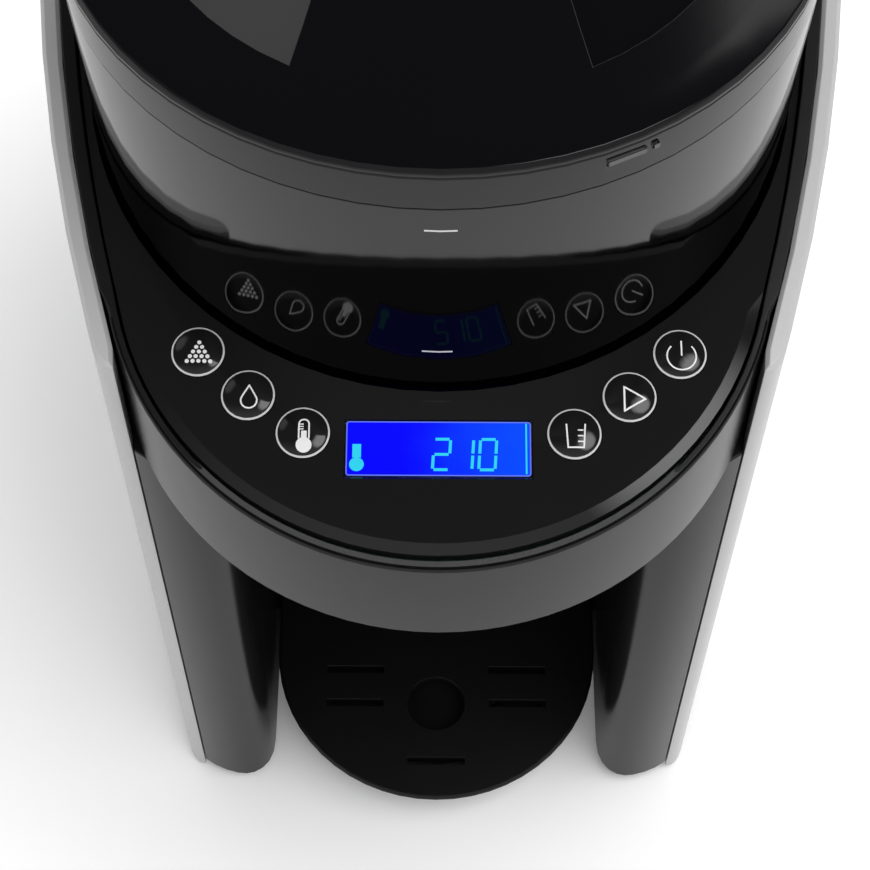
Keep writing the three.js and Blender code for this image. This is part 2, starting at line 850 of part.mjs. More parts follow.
function bottleStand() {
  const basinFloor = trayHeight - trayPlate * 3;
  let stand = stack([
    { outline: trayOutline(trayTaper), height: flatPlane(trayBottom) },
    { outline: trayOutline(trayRim), height: flatPlane(trayHeight - trayPlate * 2) },
    { outline: trayOutline(trayRim / 2), height: flatPlane(trayHeight - trayPlate - seatGap) },
  ]);
  const basinRadius = trayRadius - trayTaper;
  const basin = slab(circle(basinRadius, 0, trayY, trayArcSteps), basinFloor, trayHeight);
  const basinRearY = trayRearY - bayWall;
  stand = stand.subtract(basin.intersect(
    box(-basinRadius, basinRadius, trayY - basinRadius, basinRearY, basinFloor, trayHeight)));
  for (const side of [-1, 1]) {
    const x = side * traySlotX;
    const half = traySlotWidth / 2 - seatGap;
    const height = traySlotLow;
    const reach = traySlotHeight / 2 - seatGap;
    stand = stand.add(box(x - half, x + half, trayRearY - bayWall, bayBackY + trayHookDepth,
      height - reach, height + reach));
  }
  return stand;
}

function trayCover() {
  const low = trayHeight - trayPlate;
  const edge = trayPlate / 3;
  let plate = stack([
    { outline: trayOutline(edge), height: flatPlane(low) },
    { outline: trayOutline(0), height: flatPlane(low + edge) },
    { outline: trayOutline(0), height: flatPlane(trayHeight - edge) },
    { outline: trayOutline(edge), height: flatPlane(trayHeight) },
  ]);
  plate = plate.subtract(disc(drainRadius, low - overrun, trayHeight + overrun, 0, outletY));
  for (const [x, y] of traySlots) {
    plate = plate.subtract(box(
      x - slotLength / 2, x + slotLength / 2, y - slotWidth / 2, y + slotWidth / 2,
      low - overrun, trayHeight + overrun));
  }
  return plate;
}

addNode('bottle_stand', bottleStand(), materials.blackMatte);
addNode('stand_cover', trayCover(), materials.blackMatte);

// Powder container, seal and lid

const containerBottom = deckTopHeight + seatGap;
const containerTop = lidGrooveHeight - lidPlate - seatGap;
const floorTop = containerBottom + containerFloor;
const hubHoleGap = 1.15;

function containerProfile() {
  const neck = lidRadius - lidWall - seatGap;
  const skirtFoot = lidSkirtHeight - seatGap;
  return [
    [0, containerBottom],
    [containerFootRadius, containerBottom],
    [lidRadius - seatGap / 2, skirtFoot],
    [neck, skirtFoot],
    [neck, containerTop],
    [neck - containerWall, containerTop],
    [neck - containerWall, skirtFoot],
    [containerFootRadius - containerWall, floorTop],
    [0, floorTop],
  ];
}

function powderContainer() {
  const body = revolve(containerProfile(), roundSteps);
  const hub = disc(shaftRadius + hubHoleGap, containerBottom - overrun, floorTop + overrun);
  return body.subtract(hub).subtract(
    disc(powderHoleRadius, containerBottom - overrun, floorTop + overrun, 0, outletY));
}

addNode('powder_container', powderContainer(), materials.smokeWall);

const sealWidth = 3;
const neckRadius = lidRadius - lidWall - seatGap;

const wellArcRadius = lidRadius * wellArcShare;
const wellFrontY = lidRadius * wellFrontShare;

function wellInnerX(y) {
  const bow = (wellInnerFrontShare - wellInnerMiddleShare) * (y / wellFrontY) ** 2;
  return lidRadius * (wellInnerMiddleShare + bow);
}

// The floor of both wells: deepest beside the middle bar and rising outwards.
function wellFloor(offset) {
  const innerX = lidRadius * wellInnerMiddleShare;
  return (x) => lidTopHeight - wellDepth + offset + (Math.abs(x) - innerX) * Math.tan(wellFloorTilt);
}

// One finger well seen from above: a waisted inner edge and an arc about the lid's centre.
function wellOutline(grow) {
  const radius = wellArcRadius + grow;
  const reachY = Math.sqrt(radius ** 2 - (wellInnerX(wellFrontY) - grow) ** 2);
  const inner = Array.from({ length: wellSteps + 1 }, (_, index) => {
    const y = reachY - (2 * reachY * index) / wellSteps;
    return point(wellInnerX(Math.min(Math.abs(y), wellFrontY)) - grow, y);
  });
  const from = Math.atan2(-reachY, inner[wellSteps].x);
  const arc = Array.from({ length: 2 * wellSteps - 1 }, (_, index) => {
    const angle = from - (from * (index + 1)) / wellSteps;
    return point(radius * Math.cos(angle), radius * Math.sin(angle));
  });
  return [...inner, ...arc];
}

const tabAngle = THREE.MathUtils.degToRad(-64.2);
const tabHalfAngle = THREE.MathUtils.degToRad(3);
const tabRise = 0.7;
const tabHeight = 1.8;
const tabLevel = 0.72;
const dotAngle = THREE.MathUtils.degToRad(1);
const grooveDepth = 0.5;

// A small block on the lid's skirt between two angles.
function skirtBlock(fromAngle, toAngle, low, high) {
  const [inside, outside] = [lidRadius - lidWall / 2, lidRadius + tabRise];
  const outline = [
    point(inside * Math.cos(fromAngle), inside * Math.sin(fromAngle)),
    point(outside * Math.cos(fromAngle), outside * Math.sin(fromAngle)),
    point(outside * Math.cos(toAngle), outside * Math.sin(toAngle)),
    point(inside * Math.cos(toAngle), inside * Math.sin(toAngle)),
  ];
  return slab(outline, low, high);
}

function powderLid() {
  const inside = lidRadius - lidWall;
  const plateLow = lidTopHeight - lidPlate;
  let lid = revolve([
    [0, plateLow],
    [inside, plateLow],
    [inside, lidSkirtHeight],
    [lidRadius, lidSkirtHeight],
    [lidRadius, lidGrooveHeight],
    [lidRadius - grooveDepth, lidGrooveHeight + grooveDepth / 2],
    [lidRadius, lidGrooveHeight + grooveDepth],
    [lidRadius, lidTopHeight - lidCrown - lidEdgeRound],
    [lidRadius - lidEdgeRound, lidTopHeight - lidCrown],
    [lidRadius - lidCrownWidth, lidTopHeight],
    [0, lidTopHeight],
  ], roundSteps);
  for (const side of [1, -1]) {
    const outline = side > 0 ? wellOutline(0) : mirrorX(wellOutline(0));
    const pan = side > 0 ? wellOutline(wellWall) : mirrorX(wellOutline(wellWall));
    lid = lid.add(slab(pan, wellFloor(-wellWall), lidTopHeight - lidPlate / 2));
    lid = lid.subtract(slab(outline, wellFloor(0), lidTopHeight + overrun));
  }
  const middle = THREE.MathUtils.lerp(lidSkirtHeight, lidGrooveHeight, tabLevel);
  const [low, high] = [middle - tabHeight / 2, middle + tabHeight / 2];
  const dotFrom = tabAngle + tabHalfAngle + dotAngle;
  lid = lid.add(skirtBlock(tabAngle - tabHalfAngle, tabAngle + tabHalfAngle, low, high));
  return lid.add(skirtBlock(dotFrom, dotFrom + dotAngle, low, high));
}

addNode('powder_lid', powderLid(), materials.lidBlack);

function lidSeal() {
  const sealTop = lidTopHeight - lidPlate - seatGap;
  return ring(neckRadius, neckRadius - sealWidth, containerTop + seatGap, sealTop, 0, 0, roundSteps / 2);
}

addNode('lid_seal', lidSeal(), materials.silicone);

// Dosing wheel, scraper and stirrer inside the container

const wheelThickness = 6;
const wheelClearance = 0.5;
const wheelSideGap = 2;
const wheelRadius = containerFootRadius - containerWall - wheelSideGap;
const pocketCount = 12;
const pocketRadius = 8.5;
const pocketRing = -outletY;
const wheelBottom = floorTop + wheelClearance;
const wheelTop = wheelBottom + wheelThickness;
const hubRadius = 9;
const hubSocket = 4.6;
const hubCap = 3;
const hubRise = 8;
const stirrerArm = 4;
const stirrerBase = wheelTop + hubRise;
const stirrerHeightShare = 0.264;
const stirrerHeight = (lidSkirtHeight - floorTop) * stirrerHeightShare;
const endPostShare = 1.6;
const middlePostShare = 1.3;
const stirrerShare = 0.74;
const stirrerReach = lidRadius * stirrerShare;
const stirrerCount = 4;
const scraperThickness = 2.4;
const scraperLow = wheelTop + wheelClearance;
const scraperHalfWidth = 14;
const scraperLap = 4;
const clipHeight = 18;

function dosingWheel() {
  let wheel = disc(wheelRadius, wheelBottom, wheelTop, 0, 0, roundSteps / 2);
  for (let index = 0; index < pocketCount; index += 1) {
    const angle = (2 * Math.PI * (index + 0.5)) / pocketCount + Math.PI / 2;
    const [x, y] = [pocketRing * Math.cos(angle), pocketRing * Math.sin(angle)];
    wheel = wheel.subtract(disc(pocketRadius, wheelBottom - overrun, wheelTop + overrun, x, y, fineSteps));
  }
  const hubTop = stirrerBase - seatGap;
  wheel = wheel.add(disc(hubRadius, wheelBottom, hubTop));
  return wheel.subtract(disc(hubSocket, wheelBottom - overrun, hubTop - hubCap, 0, 0, hexSides));
}

function stirrer() {
  let frame = disc(hubRadius, stirrerBase, stirrerBase + stirrerHeight);
  for (let index = 0; index < stirrerCount; index += 1) {
    const angle = (2 * Math.PI * index) / stirrerCount;
    const half = stirrerArm / 2;
    const middle = stirrerReach / 2;
    const endTop = stirrerBase + stirrerHeight * endPostShare;
    const middleTop = stirrerBase + stirrerHeight * middlePostShare;
    const arm = joined(
      box(0, stirrerReach, -half, half, stirrerBase, stirrerBase + stirrerArm),
      box(stirrerReach - stirrerArm, stirrerReach, -half, half, stirrerBase, endTop),
      box(middle, middle + stirrerArm, -half, half, stirrerBase, middleTop));
    frame = frame.add(moved(arm, new THREE.Matrix4().makeRotationZ(angle)));
  }
  return frame;
}

// A blade that levels the pocket over the opening; a clip holds it to the container's wall.
function scraper() {
  const wallRadius = (containerFootRadius - containerWall) * Math.cos(Math.PI / roundSteps);
  const wallAt = Math.sqrt(wallRadius ** 2 - scraperHalfWidth ** 2) - seatGap;
  const blade = box(-scraperHalfWidth, scraperHalfWidth, -wallAt, outletY + pocketRadius + scraperLap,
    scraperLow, scraperLow + scraperThickness);
  const clip = box(-scraperHalfWidth / 2, scraperHalfWidth / 2, -wallAt, -wallAt + scraperThickness,
    scraperLow, scraperLow + clipHeight);
  return joined(blade, clip);
}

addNode('dosing_wheel', dosingWheel(), materials.whitePlastic);
addNode('stirrer', stirrer(), materials.whitePlastic);
addNode('scraper', scraper(), materials.whitePlastic);

// Powder drive: motor, pinion, gear and shaft below the deck

const gearModule = 1.2;
const gearTeeth = 36;
const pinionTeeth = 12;
const gearThickness = 7;
const gearDrop = 12;
const gearLow = deckBottom - gearDrop;
const gearPitch = (gearModule * gearTeeth) / 2;
const pinionPitch = (gearModule * pinionTeeth) / 2;
const motorY = gearPitch + pinionPitch + runningGap;
const tipShare = 0.85;
const rootShare = 1.15;
const tipHalfShare = 0.132;
const rootHalfShare = 0.273;
const bracketDrop = 4;
const bracketTop = gearLow - bracketDrop;
const bracketThickness = 3;
const motorRadius = 21;
const motorHeight = 44;
const motorBossShare = 0.5;
const motorBossHeight = 5;
const pinShaftRadius = 2.5;
const boreGap = 0.05;

// A spur gear with straight-flanked teeth, turned so that a tooth or a gap faces +Y.
function gear(teeth, low, high, bore, turn) {
  const pitchRadius = (gearModule * teeth) / 2;
  const [tip, root] = [pitchRadius + gearModule * tipShare, pitchRadius - gearModule * rootShare];
  const corners = [[root, -rootHalfShare], [tip, -tipHalfShare], [tip, tipHalfShare], [root, rootHalfShare]];
  const outline = [];
  for (let tooth = 0; tooth < teeth; tooth += 1) {
    const pitchAngle = (2 * Math.PI) / teeth;
    const middle = turn + tooth * pitchAngle;
    for (const [radius, share] of corners) {
      const angle = middle + share * pitchAngle;
      outline.push(point(radius * Math.cos(angle), radius * Math.sin(angle)));
    }
  }
  return slab(outline, low, high).subtract(disc(bore, low - overrun, high + overrun));
}

const gearTop = gearLow + gearThickness;
addNode('drive_gear', gear(gearTeeth, gearLow, gearTop, shaftRadius + boreGap, Math.PI / 2),
  materials.whitePlastic);

function motorPinion() {
  const toothGap = -Math.PI / 2 + Math.PI / pinionTeeth;
  const wheel = gear(pinionTeeth, gearLow, gearTop, pinShaftRadius + boreGap, toothGap);
  return moved(wheel, new THREE.Matrix4().makeTranslation(0, motorY, 0));
}

addNode('motor_pinion', motorPinion(), materials.brass);

function driveShaft() {
  const hexTop = stirrerBase - seatGap - hubCap - seatGap;
  return joined(
    disc(shaftRadius, bracketTop - bracketThickness, floorTop - seatGap),
    disc(hubSocket - seatGap, floorTop - 2 * seatGap, hexTop, 0, 0, hexSides));
}

addNode('drive_shaft', driveShaft(), materials.steel);

const postRadius = 3.5;
const bracketHalfWidth = 34;
const bracketFrontY = -18;
const bracketRearY = 60;
const postInset = 6;
const postX = bracketHalfWidth - postInset;
const postRows = [bracketFrontY + postInset, bracketRearY - 2 * postInset];

function motorBracket() {
  let plate = box(-bracketHalfWidth, bracketHalfWidth, bracketFrontY, bracketRearY,
    bracketTop - bracketThickness, bracketTop);
  const foot = bracketTop - bracketThickness;
  for (const y of postRows) {
    for (const x of [-postX, postX]) {
      plate = plate.add(disc(postRadius, foot, deckBottom - seatGap, x, y, fineSteps));
    }
  }
  const low = foot - overrun;
  plate = plate.subtract(disc(shaftRadius + runningGap, low, bracketTop + overrun));
  return plate.subtract(disc(pinShaftRadius + runningGap + seatGap, low, bracketTop + overrun, 0, motorY));
}

addNode('motor_bracket', motorBracket(), materials.steel);

const motorTop = bracketTop - bracketThickness - seatGap;

function powderMotor() {
  const foot = motorTop - motorHeight;
  return joined(
    disc(motorRadius, foot, motorTop, 0, motorY),
    disc(motorRadius * motorBossShare, foot - motorBossHeight, foot, 0, motorY));
}

addNode('powder_motor', powderMotor(), materials.motorSteel);
addNode('motor_shaft', disc(pinShaftRadius, motorTop + seatGap, gearTop, 0, motorY), materials.steel);

// Water tank, its lid and its valve

const valveInset = 44;
const valveY = rearY - valveInset;
const valveRadius = 11;
const valveFlange = 14;
const socketWall = 2.4;
const tankLidThickness = 4;
const tankTopDrop = 3;
const lidLipDepth = 6;
const gripHalf = 32;
const gripInset = 42;
const gripFrontY = rearY - gripInset;
const gripDepth = 9;
const gripRise = 14;

function tankOutline(shrink) {
  const inset = panelInner + tankClearance + shrink;
  const frontY = tankFrontY + shrink;
  const radius = tankFrontRadius + shrink;
  const right = [...sideLine(inset, frontY, cornerY), ...rearCorner(inset)];
  const left = mirrorX(right);
  const from = Math.atan2(frontY, -Math.sqrt(radius ** 2 - frontY ** 2));
  const to = Math.PI - from;
  const arc = Array.from({ length: tankArcSteps + 1 }, (_, index) => {
    const angle = from + ((to - from) * index) / tankArcSteps;
    return point(radius * Math.cos(angle), radius * Math.sin(angle));
  });
  return [...right, ...left, ...arc];
}

function waterTank() {
  const outer = slab(tankOutline(0), tankFloorHeight, rimPlane(-tankTopDrop));
  const inner = slab(tankOutline(tankWall), tankFloorHeight + tankWall, rimPlane(overrun));
  return outer.subtract(inner).subtract(disc(valveRadius + seatGap, tankFloorHeight - overrun,
    tankFloorHeight + tankWall + overrun, 0, valveY));
}

addNode('water_tank', waterTank(), materials.smokeClear);

function tankLid() {
  const low = rimPlane(seatGap - tankTopDrop);
  const plateTop = tankLidThickness - tankTopDrop;
  const plate = stack([
    { outline: tankOutline(0), height: low },
    { outline: tankOutline(0), height: rimPlane(plateTop) },
    { outline: tankOutline(panelEdgeRound), height: rimPlane(plateTop + panelEdgeRound) },
  ]);
  const lipBottom = -tankTopDrop - lidLipDepth;
  const lipOuter = slab(tankOutline(tankWall + seatGap), rimPlane(lipBottom), rimPlane(plateTop));
  const lipInner = slab(tankOutline(2 * tankWall + seatGap), rimPlane(lipBottom - overrun), low);
  const gripRearY = gripFrontY + gripDepth;
  const grip = slab(
    [point(-gripHalf, gripFrontY), point(gripHalf, gripFrontY), point(gripHalf, gripRearY),
      point(-gripHalf, gripRearY)], rimPlane(0), rimPlane(gripRise));
  return joined(plate, lipOuter.subtract(lipInner), grip);
}

addNode('tank_lid', tankLid(), materials.darkGloss);

function tankValve() {
  const seat = tankFloorHeight + tankWall + seatGap;
  const foot = tankFloorHeight - shelfThickness - overrun;
  return joined(
    disc(valveFlange, seat, seat + socketWall, 0, valveY),
    disc(valveRadius, foot, seat + socketWall / 2, 0, valveY));
}

addNode('tank_valve', tankValve(), materials.silicone);

const shelfTop = tankFloorHeight - seatGap;
const socketDepth = 12;
const hoseRadius = 4;

function tankShelf() {
  const inset = panelInner + seatGap;
  const half = [...sideLine(inset, tankFrontY, cornerY), ...rearCorner(inset)];
  const trimmed = half.map(({ x, y }) => point(x, Math.min(y, rearY - panelThickness - seatGap)));
  const socketBottom = shelfTop - shelfThickness - socketDepth;
  let shelf = slab(mirroredOutline(trimmed), shelfTop - shelfThickness, shelfTop);
  shelf = shelf.add(disc(valveRadius + seatGap + socketWall, socketBottom, shelfTop, 0, valveY));
  shelf = shelf.subtract(disc(valveRadius + seatGap, shelfTop - socketDepth, shelfTop + overrun, 0, valveY));
  return shelf.subtract(disc(hoseRadius + seatGap, socketBottom - overrun, shelfTop, 0, valveY));
}

addNode('tank_shelf', tankShelf(), materials.blackMatte);

// Pump, heater, circuit board and hoses inside the body

const mountBase = baseTop + seatGap;
const roomHeight = tankFloorHeight - mountBase;
const pumpX = -44;
const pumpY = 112;
const pumpRadius = 19;
const pumpShare = 0.289;
const pumpTop = mountBase + roomHeight * pumpShare;
const heaterX = 46;
const heaterY = 96;
const heaterRadius = 24;
const heaterShare = 0.633;
const heaterTop = mountBase + roomHeight * heaterShare;
const stubHeight = 8;
const stubRadius = 5.5;
const pumpStubX = 8;
const heaterStubX = 10;

// A can that stands on the base plate, with two hose stubs on top.
function canister(radius, top, x, y, stubX) {
  return joined(
    disc(radius, mountBase, top, x, y),
    disc(stubRadius, top, top + stubHeight, x - stubX, y, fineSteps),
    disc(stubRadius, top, top + stubHeight, x + stubX, y, fineSteps));
}

addNode('water_pump', canister(pumpRadius, pumpTop, pumpX, pumpY, pumpStubX), materials.motorSteel);
addNode('water_heater', canister(heaterRadius, heaterTop, heaterX, heaterY, heaterStubX), materials.steel);

const pumpPort = pumpTop + stubHeight + seatGap;
const heaterPort = heaterTop + stubHeight + seatGap;
const valvePort = shelfTop - socketDepth - seatGap;
const thinHoseRadius = 2.5;
const passDrop = 3.2;
const passHeight = deckBottom - passDrop;
const hoseRise = 12;

// Each hose as the places it bends through, from port to port.
const routes = {
  tank_hose: [
    [0, valveY, valvePort],
    [0, valveY, valvePort - 2 * hoseRise],
    [-pumpRadius, pumpY + hoseRise, pumpPort + 3 * hoseRise],
    [pumpX + pumpStubX, pumpY, pumpPort + hoseRise],
    [pumpX + pumpStubX, pumpY, pumpPort],
  ],
  pump_hose: [
    [pumpX - pumpStubX, pumpY, pumpPort],
    [pumpX - pumpStubX, pumpY, pumpPort + hoseRise],
    [pumpX + hoseRise, heaterY - hoseRise, pumpPort + 4 * hoseRise],
    [hoseRise, heaterY - pumpRadius, heaterPort + hoseRise],
    [heaterX - heaterStubX, heaterY, heaterPort + hoseRise],
    [heaterX - heaterStubX, heaterY, heaterPort],
  ],
  outlet_hose: [
    [heaterX + heaterStubX, heaterY, heaterPort],
    [heaterX + heaterStubX, heaterY, heaterPort + hoseRise],
    [heaterX + heaterStubX, tankFrontY - hoseRise, heaterPort + hoseRise],
    [heaterX + heaterStubX, tankFrontY - 2 * hoseRise, passHeight - 5 * hoseRise],
    [heaterX + heaterStubX, 0, passHeight - 1.5 * hoseRise],
    [heaterX + pumpStubX, bayBackY + hoseRise, passHeight - hoseRise / 3],
    [heaterX + hoseRise / 2, bayBackY + bayWall, passHeight],
    [heaterX, bayBackY - hoseRise / 2, passHeight],
    [nozzleX + 1.5 * hoseRise, nozzleY + hoseRise, passHeight],
    [nozzleX + hoseRise, nozzleY, passHeight],
    [nozzleX + nozzleRadius + seatGap, nozzleY, passHeight],
  ],
};

addNode('tank_hose', hose(routes.tank_hose, hoseRadius, hoseSteps), materials.hoseClear);
addNode('pump_hose', hose(routes.pump_hose, hoseRadius, hoseSteps), materials.hoseClear);
addNode('outlet_hose', hose(routes.outlet_hose, thinHoseRadius, hoseSteps + fineSteps), materials.hoseClear);

const collarThickness = 2;
const collarRadius = 6;
const nozzleReach = 6;

function waterNozzle() {
  const foot = disc(nozzleRadius, drawerTop + nozzleReach, passHeight + thinHoseRadius, nozzleX, nozzleY);
  const floorTopPlane = headFloorPlane(headFloorLift + headFloorThickness + seatGap);
  const collarLow = floorTopPlane(nozzleX, nozzleY + 2 * nozzleRadius);
  return foot.add(disc(collarRadius, collarLow, collarLow + collarThickness, nozzleX, nozzleY));
}

addNode('water_nozzle', waterNozzle(), materials.silicone);

const mainBoardY = -14;
const mainBoardHalfWidth = 52;
const mainBoardLow = 30;
const mainBoardHigh = tankFloorHeight - overrun;
const boardPostInset = 11;
const relayPlaces = [-30, -6, 18];
const relayWidth = 14;
const relayDepth = 12;
const relayLow = 60;
const relayHeight = 16;

function mainBoard() {
  const boardBack = mainBoardY + boardThickness;
  let board = box(-mainBoardHalfWidth, mainBoardHalfWidth, mainBoardY, boardBack,
    mainBoardLow, mainBoardHigh);
  for (const side of [-1, 1]) {
    for (const height of [mainBoardLow + boardPostInset, mainBoardHigh - boardPostInset]) {
      const x = side * (mainBoardHalfWidth - boardPostInset);
      board = board.add(barrel(postRadius, bayBackY + bayWall + seatGap, mainBoardY, x, height, fineSteps));
    }
  }
  for (const x of relayPlaces) {
    board = board.add(box(x, x + relayWidth, boardBack, boardBack + relayDepth,
      relayLow, relayLow + relayHeight));
  }
  return board;
}

addNode('main_board', mainBoard(), materials.circuitGreen);

const object = new THREE.Group();
object.name = 'baby_formula_maker';
object.position.set(0, -(rearY + bandFrontY) / 2, 0);
for (const mesh of nodes) object.add(mesh);

const root = new THREE.Group();
root.add(object);

export default root;
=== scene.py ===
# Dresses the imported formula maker: camera, studio, finishes, symbols and small trim.

import json
import math
import bmesh
import bpy
from mathutils import Matrix, Vector
from mathutils.bvhtree import BVHTree


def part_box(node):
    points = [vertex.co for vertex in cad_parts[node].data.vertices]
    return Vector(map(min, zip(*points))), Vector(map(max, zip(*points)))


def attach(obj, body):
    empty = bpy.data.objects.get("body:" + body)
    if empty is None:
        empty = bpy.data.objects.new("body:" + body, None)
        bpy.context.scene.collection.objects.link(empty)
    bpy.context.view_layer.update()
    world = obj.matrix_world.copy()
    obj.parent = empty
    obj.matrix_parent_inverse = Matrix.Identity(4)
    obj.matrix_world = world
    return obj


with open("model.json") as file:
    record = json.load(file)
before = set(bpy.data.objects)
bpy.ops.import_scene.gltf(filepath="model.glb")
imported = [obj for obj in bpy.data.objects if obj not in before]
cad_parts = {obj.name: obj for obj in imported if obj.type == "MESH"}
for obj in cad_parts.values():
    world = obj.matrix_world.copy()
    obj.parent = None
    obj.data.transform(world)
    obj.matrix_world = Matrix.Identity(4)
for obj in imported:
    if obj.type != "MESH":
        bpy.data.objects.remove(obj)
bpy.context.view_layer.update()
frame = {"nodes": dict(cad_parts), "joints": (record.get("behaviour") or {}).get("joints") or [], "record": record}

MM = 0.001
nodes = frame["nodes"]
joints = {joint["name"]: joint for joint in frame["joints"]}
axis_point = Vector(joints["wheel_spin"]["pos_m"])
axis_y = axis_point.y

# Camera, solved from the curves of the lid, the container, the panel and the ring

IMAGE_SIZE = 870
FOCAL_PIXELS = 2044
SENSOR = 36.0
CAMERA_X = -0.95 * MM
CAMERA_Y = -397 * MM
CAMERA_Z = 733 * MM
CAMERA_PITCH = math.radians(58.2)
CAMERA_ROLL = math.radians(0.3)


def make_camera():
    """The photographer's camera: above the front, looking down at the panel."""
    data = bpy.data.cameras.new("photo_camera")
    data.sensor_width = SENSOR
    data.lens = SENSOR * FOCAL_PIXELS / IMAGE_SIZE
    data.clip_start = 0.01
    camera = bpy.data.objects.new("photo_camera", data)
    bpy.context.scene.collection.objects.link(camera)
    turn = Matrix.Rotation(math.pi / 2 - CAMERA_PITCH, 4, "X") @ Matrix.Rotation(CAMERA_ROLL, 4, "Z")
    camera.matrix_world = Matrix.Translation((CAMERA_X, axis_y + CAMERA_Y, CAMERA_Z)) @ turn
    bpy.context.scene.camera = camera


make_camera()
bpy.context.scene.view_settings.view_transform = "Standard"

# Node tree helpers


def new_material(name):
    material = bpy.data.materials.new(name)
    material.use_nodes = True
    shader = material.node_tree.nodes["Principled BSDF"]
    return material, material.node_tree, shader


def add(tree, kind, **settings):
    node = tree.nodes.new(kind)
    for key, value in settings.items():
        if key in node.inputs:
            node.inputs[key].default_value = value
        else:
            setattr(node, key, value)
    return node


def grey(value, tint=(1.0, 1.0, 1.0)):
    return (value * tint[0], value * tint[1], value * tint[2], 1.0)


def noise(tree, scale, detail=3.0, stretch=(1, 1, 1)):
    place = add(tree, "ShaderNodeTexCoord")
    mapping = add(tree, "ShaderNodeMapping")
    mapping.inputs["Scale"].default_value = stretch
    tree.links.new(place.outputs["Object"], mapping.inputs["Vector"])
    texture = add(tree, "ShaderNodeTexNoise", Scale=scale, Detail=detail)
    tree.links.new(mapping.outputs["Vector"], texture.inputs["Vector"])
    return texture.outputs["Fac"]


def spread(tree, factor, low, high):
    """A factor of 0 to 1 spread over a range of numbers."""
    span = add(tree, "ShaderNodeMapRange")
    span.inputs["To Min"].default_value = low
    span.inputs["To Max"].default_value = high
    tree.links.new(factor, span.inputs["Value"])
    return span.outputs["Result"]


def maths(tree, operation, first, second, clamp=False):
    node = add(tree, "ShaderNodeMath", operation=operation, use_clamp=clamp)
    for socket, value in zip(node.inputs, (first, second)):
        if isinstance(value, (int, float)):
            socket.default_value = value
        else:
            tree.links.new(value, socket)
    return node.outputs[0]


def ramp(tree, value, start, end, low, high):
    """A smooth change of level between two places."""
    span = add(tree, "ShaderNodeMapRange", interpolation_type="SMOOTHSTEP")
    for name, number in (("From Min", start), ("From Max", end), ("To Min", low), ("To Max", high)):
        span.inputs[name].default_value = number
    tree.links.new(value, span.inputs["Value"])
    return span.outputs["Result"]


def tinted(tree, factor, low, high):
    blend = add(tree, "ShaderNodeMix", data_type="RGBA")
    blend.inputs["A"].default_value = low
    blend.inputs["B"].default_value = high
    tree.links.new(factor, blend.inputs["Factor"])
    return blend.outputs["Result"]


def bumped(tree, shader, height, strength, distance):
    bump = add(tree, "ShaderNodeBump", Strength=strength, Distance=distance)
    tree.links.new(height, bump.inputs["Height"])
    tree.links.new(bump.outputs["Normal"], shader.inputs["Normal"])


def moulded(name, shade, roughness, vary=0.06, grain=2600, grain_strength=0.06, orange_peel=0.0,
            metallic=0.0, coat=0.0, coat_roughness=0.05, tint=(1, 1, 1), specular=0.5):
    """Moulded or painted plastic: slight tone drift, uneven gloss and a fine surface grain."""
    material, tree, shader = new_material(name)
    drift = noise(tree, 14, 4)
    fine = noise(tree, grain, 2)
    colour = tinted(tree, drift, grey(shade * (1 - vary), tint), grey(shade * (1 + vary), tint))
    tree.links.new(colour, shader.inputs["Base Color"])
    tree.links.new(spread(tree, noise(tree, 60, 5), roughness * 0.88, roughness * 1.14),
                   shader.inputs["Roughness"])
    shader.inputs["Metallic"].default_value = metallic
    shader.inputs["Specular IOR Level"].default_value = specular
    shader.inputs["Coat Weight"].default_value = coat
    shader.inputs["Coat Roughness"].default_value = coat_roughness
    if orange_peel:
        wave = noise(tree, 160, 1)
        total = add(tree, "ShaderNodeMath", operation="ADD")
        scaled = add(tree, "ShaderNodeMath", operation="MULTIPLY")
        scaled.inputs[1].default_value = orange_peel
        tree.links.new(wave, scaled.inputs[0])
        tree.links.new(scaled.outputs[0], total.inputs[0])
        tree.links.new(fine, total.inputs[1])
        height = total.outputs[0]
    else:
        height = fine
    bumped(tree, shader, height, grain_strength, 0.0002)
    return material


def clear_plastic(name, tint_value, roughness=0.06, transmission=0.9):
    material, tree, shader = new_material(name)
    drift = noise(tree, 20, 3)
    tree.links.new(tinted(tree, drift, grey(tint_value * 0.94), grey(tint_value * 1.06)),
                   shader.inputs["Base Color"])
    uneven = spread(tree, noise(tree, 70, 4), roughness * 0.7, roughness * 1.5)
    tree.links.new(uneven, shader.inputs["Roughness"])
    shader.inputs["Transmission Weight"].default_value = transmission
    shader.inputs["IOR"].default_value = 1.49
    return material


# A display shines forwards, so little of its light shows in the walls beside it.
SIDE_SHINE = 0.12


def glowing(name, colour, strength, roughness=0.4):
    material, tree, shader = new_material(name)
    drift = noise(tree, 90, 2)
    dark = tuple(channel * 0.92 for channel in colour[:3]) + (1.0,)
    tone = tinted(tree, drift, dark, colour)
    deep = tinted(tree, drift, grey(0.002), grey(0.003))
    tree.links.new(deep, shader.inputs["Base Color"])
    tree.links.new(tone, shader.inputs["Emission Color"])
    path = add(tree, "ShaderNodeLightPath")
    tree.links.new(spread(tree, path.outputs["Is Glossy Ray"], strength, strength * SIDE_SHINE),
                   shader.inputs["Emission Strength"])
    shader.inputs["Roughness"].default_value = roughness
    shader.inputs["Specular IOR Level"].default_value = 0.2
    return material


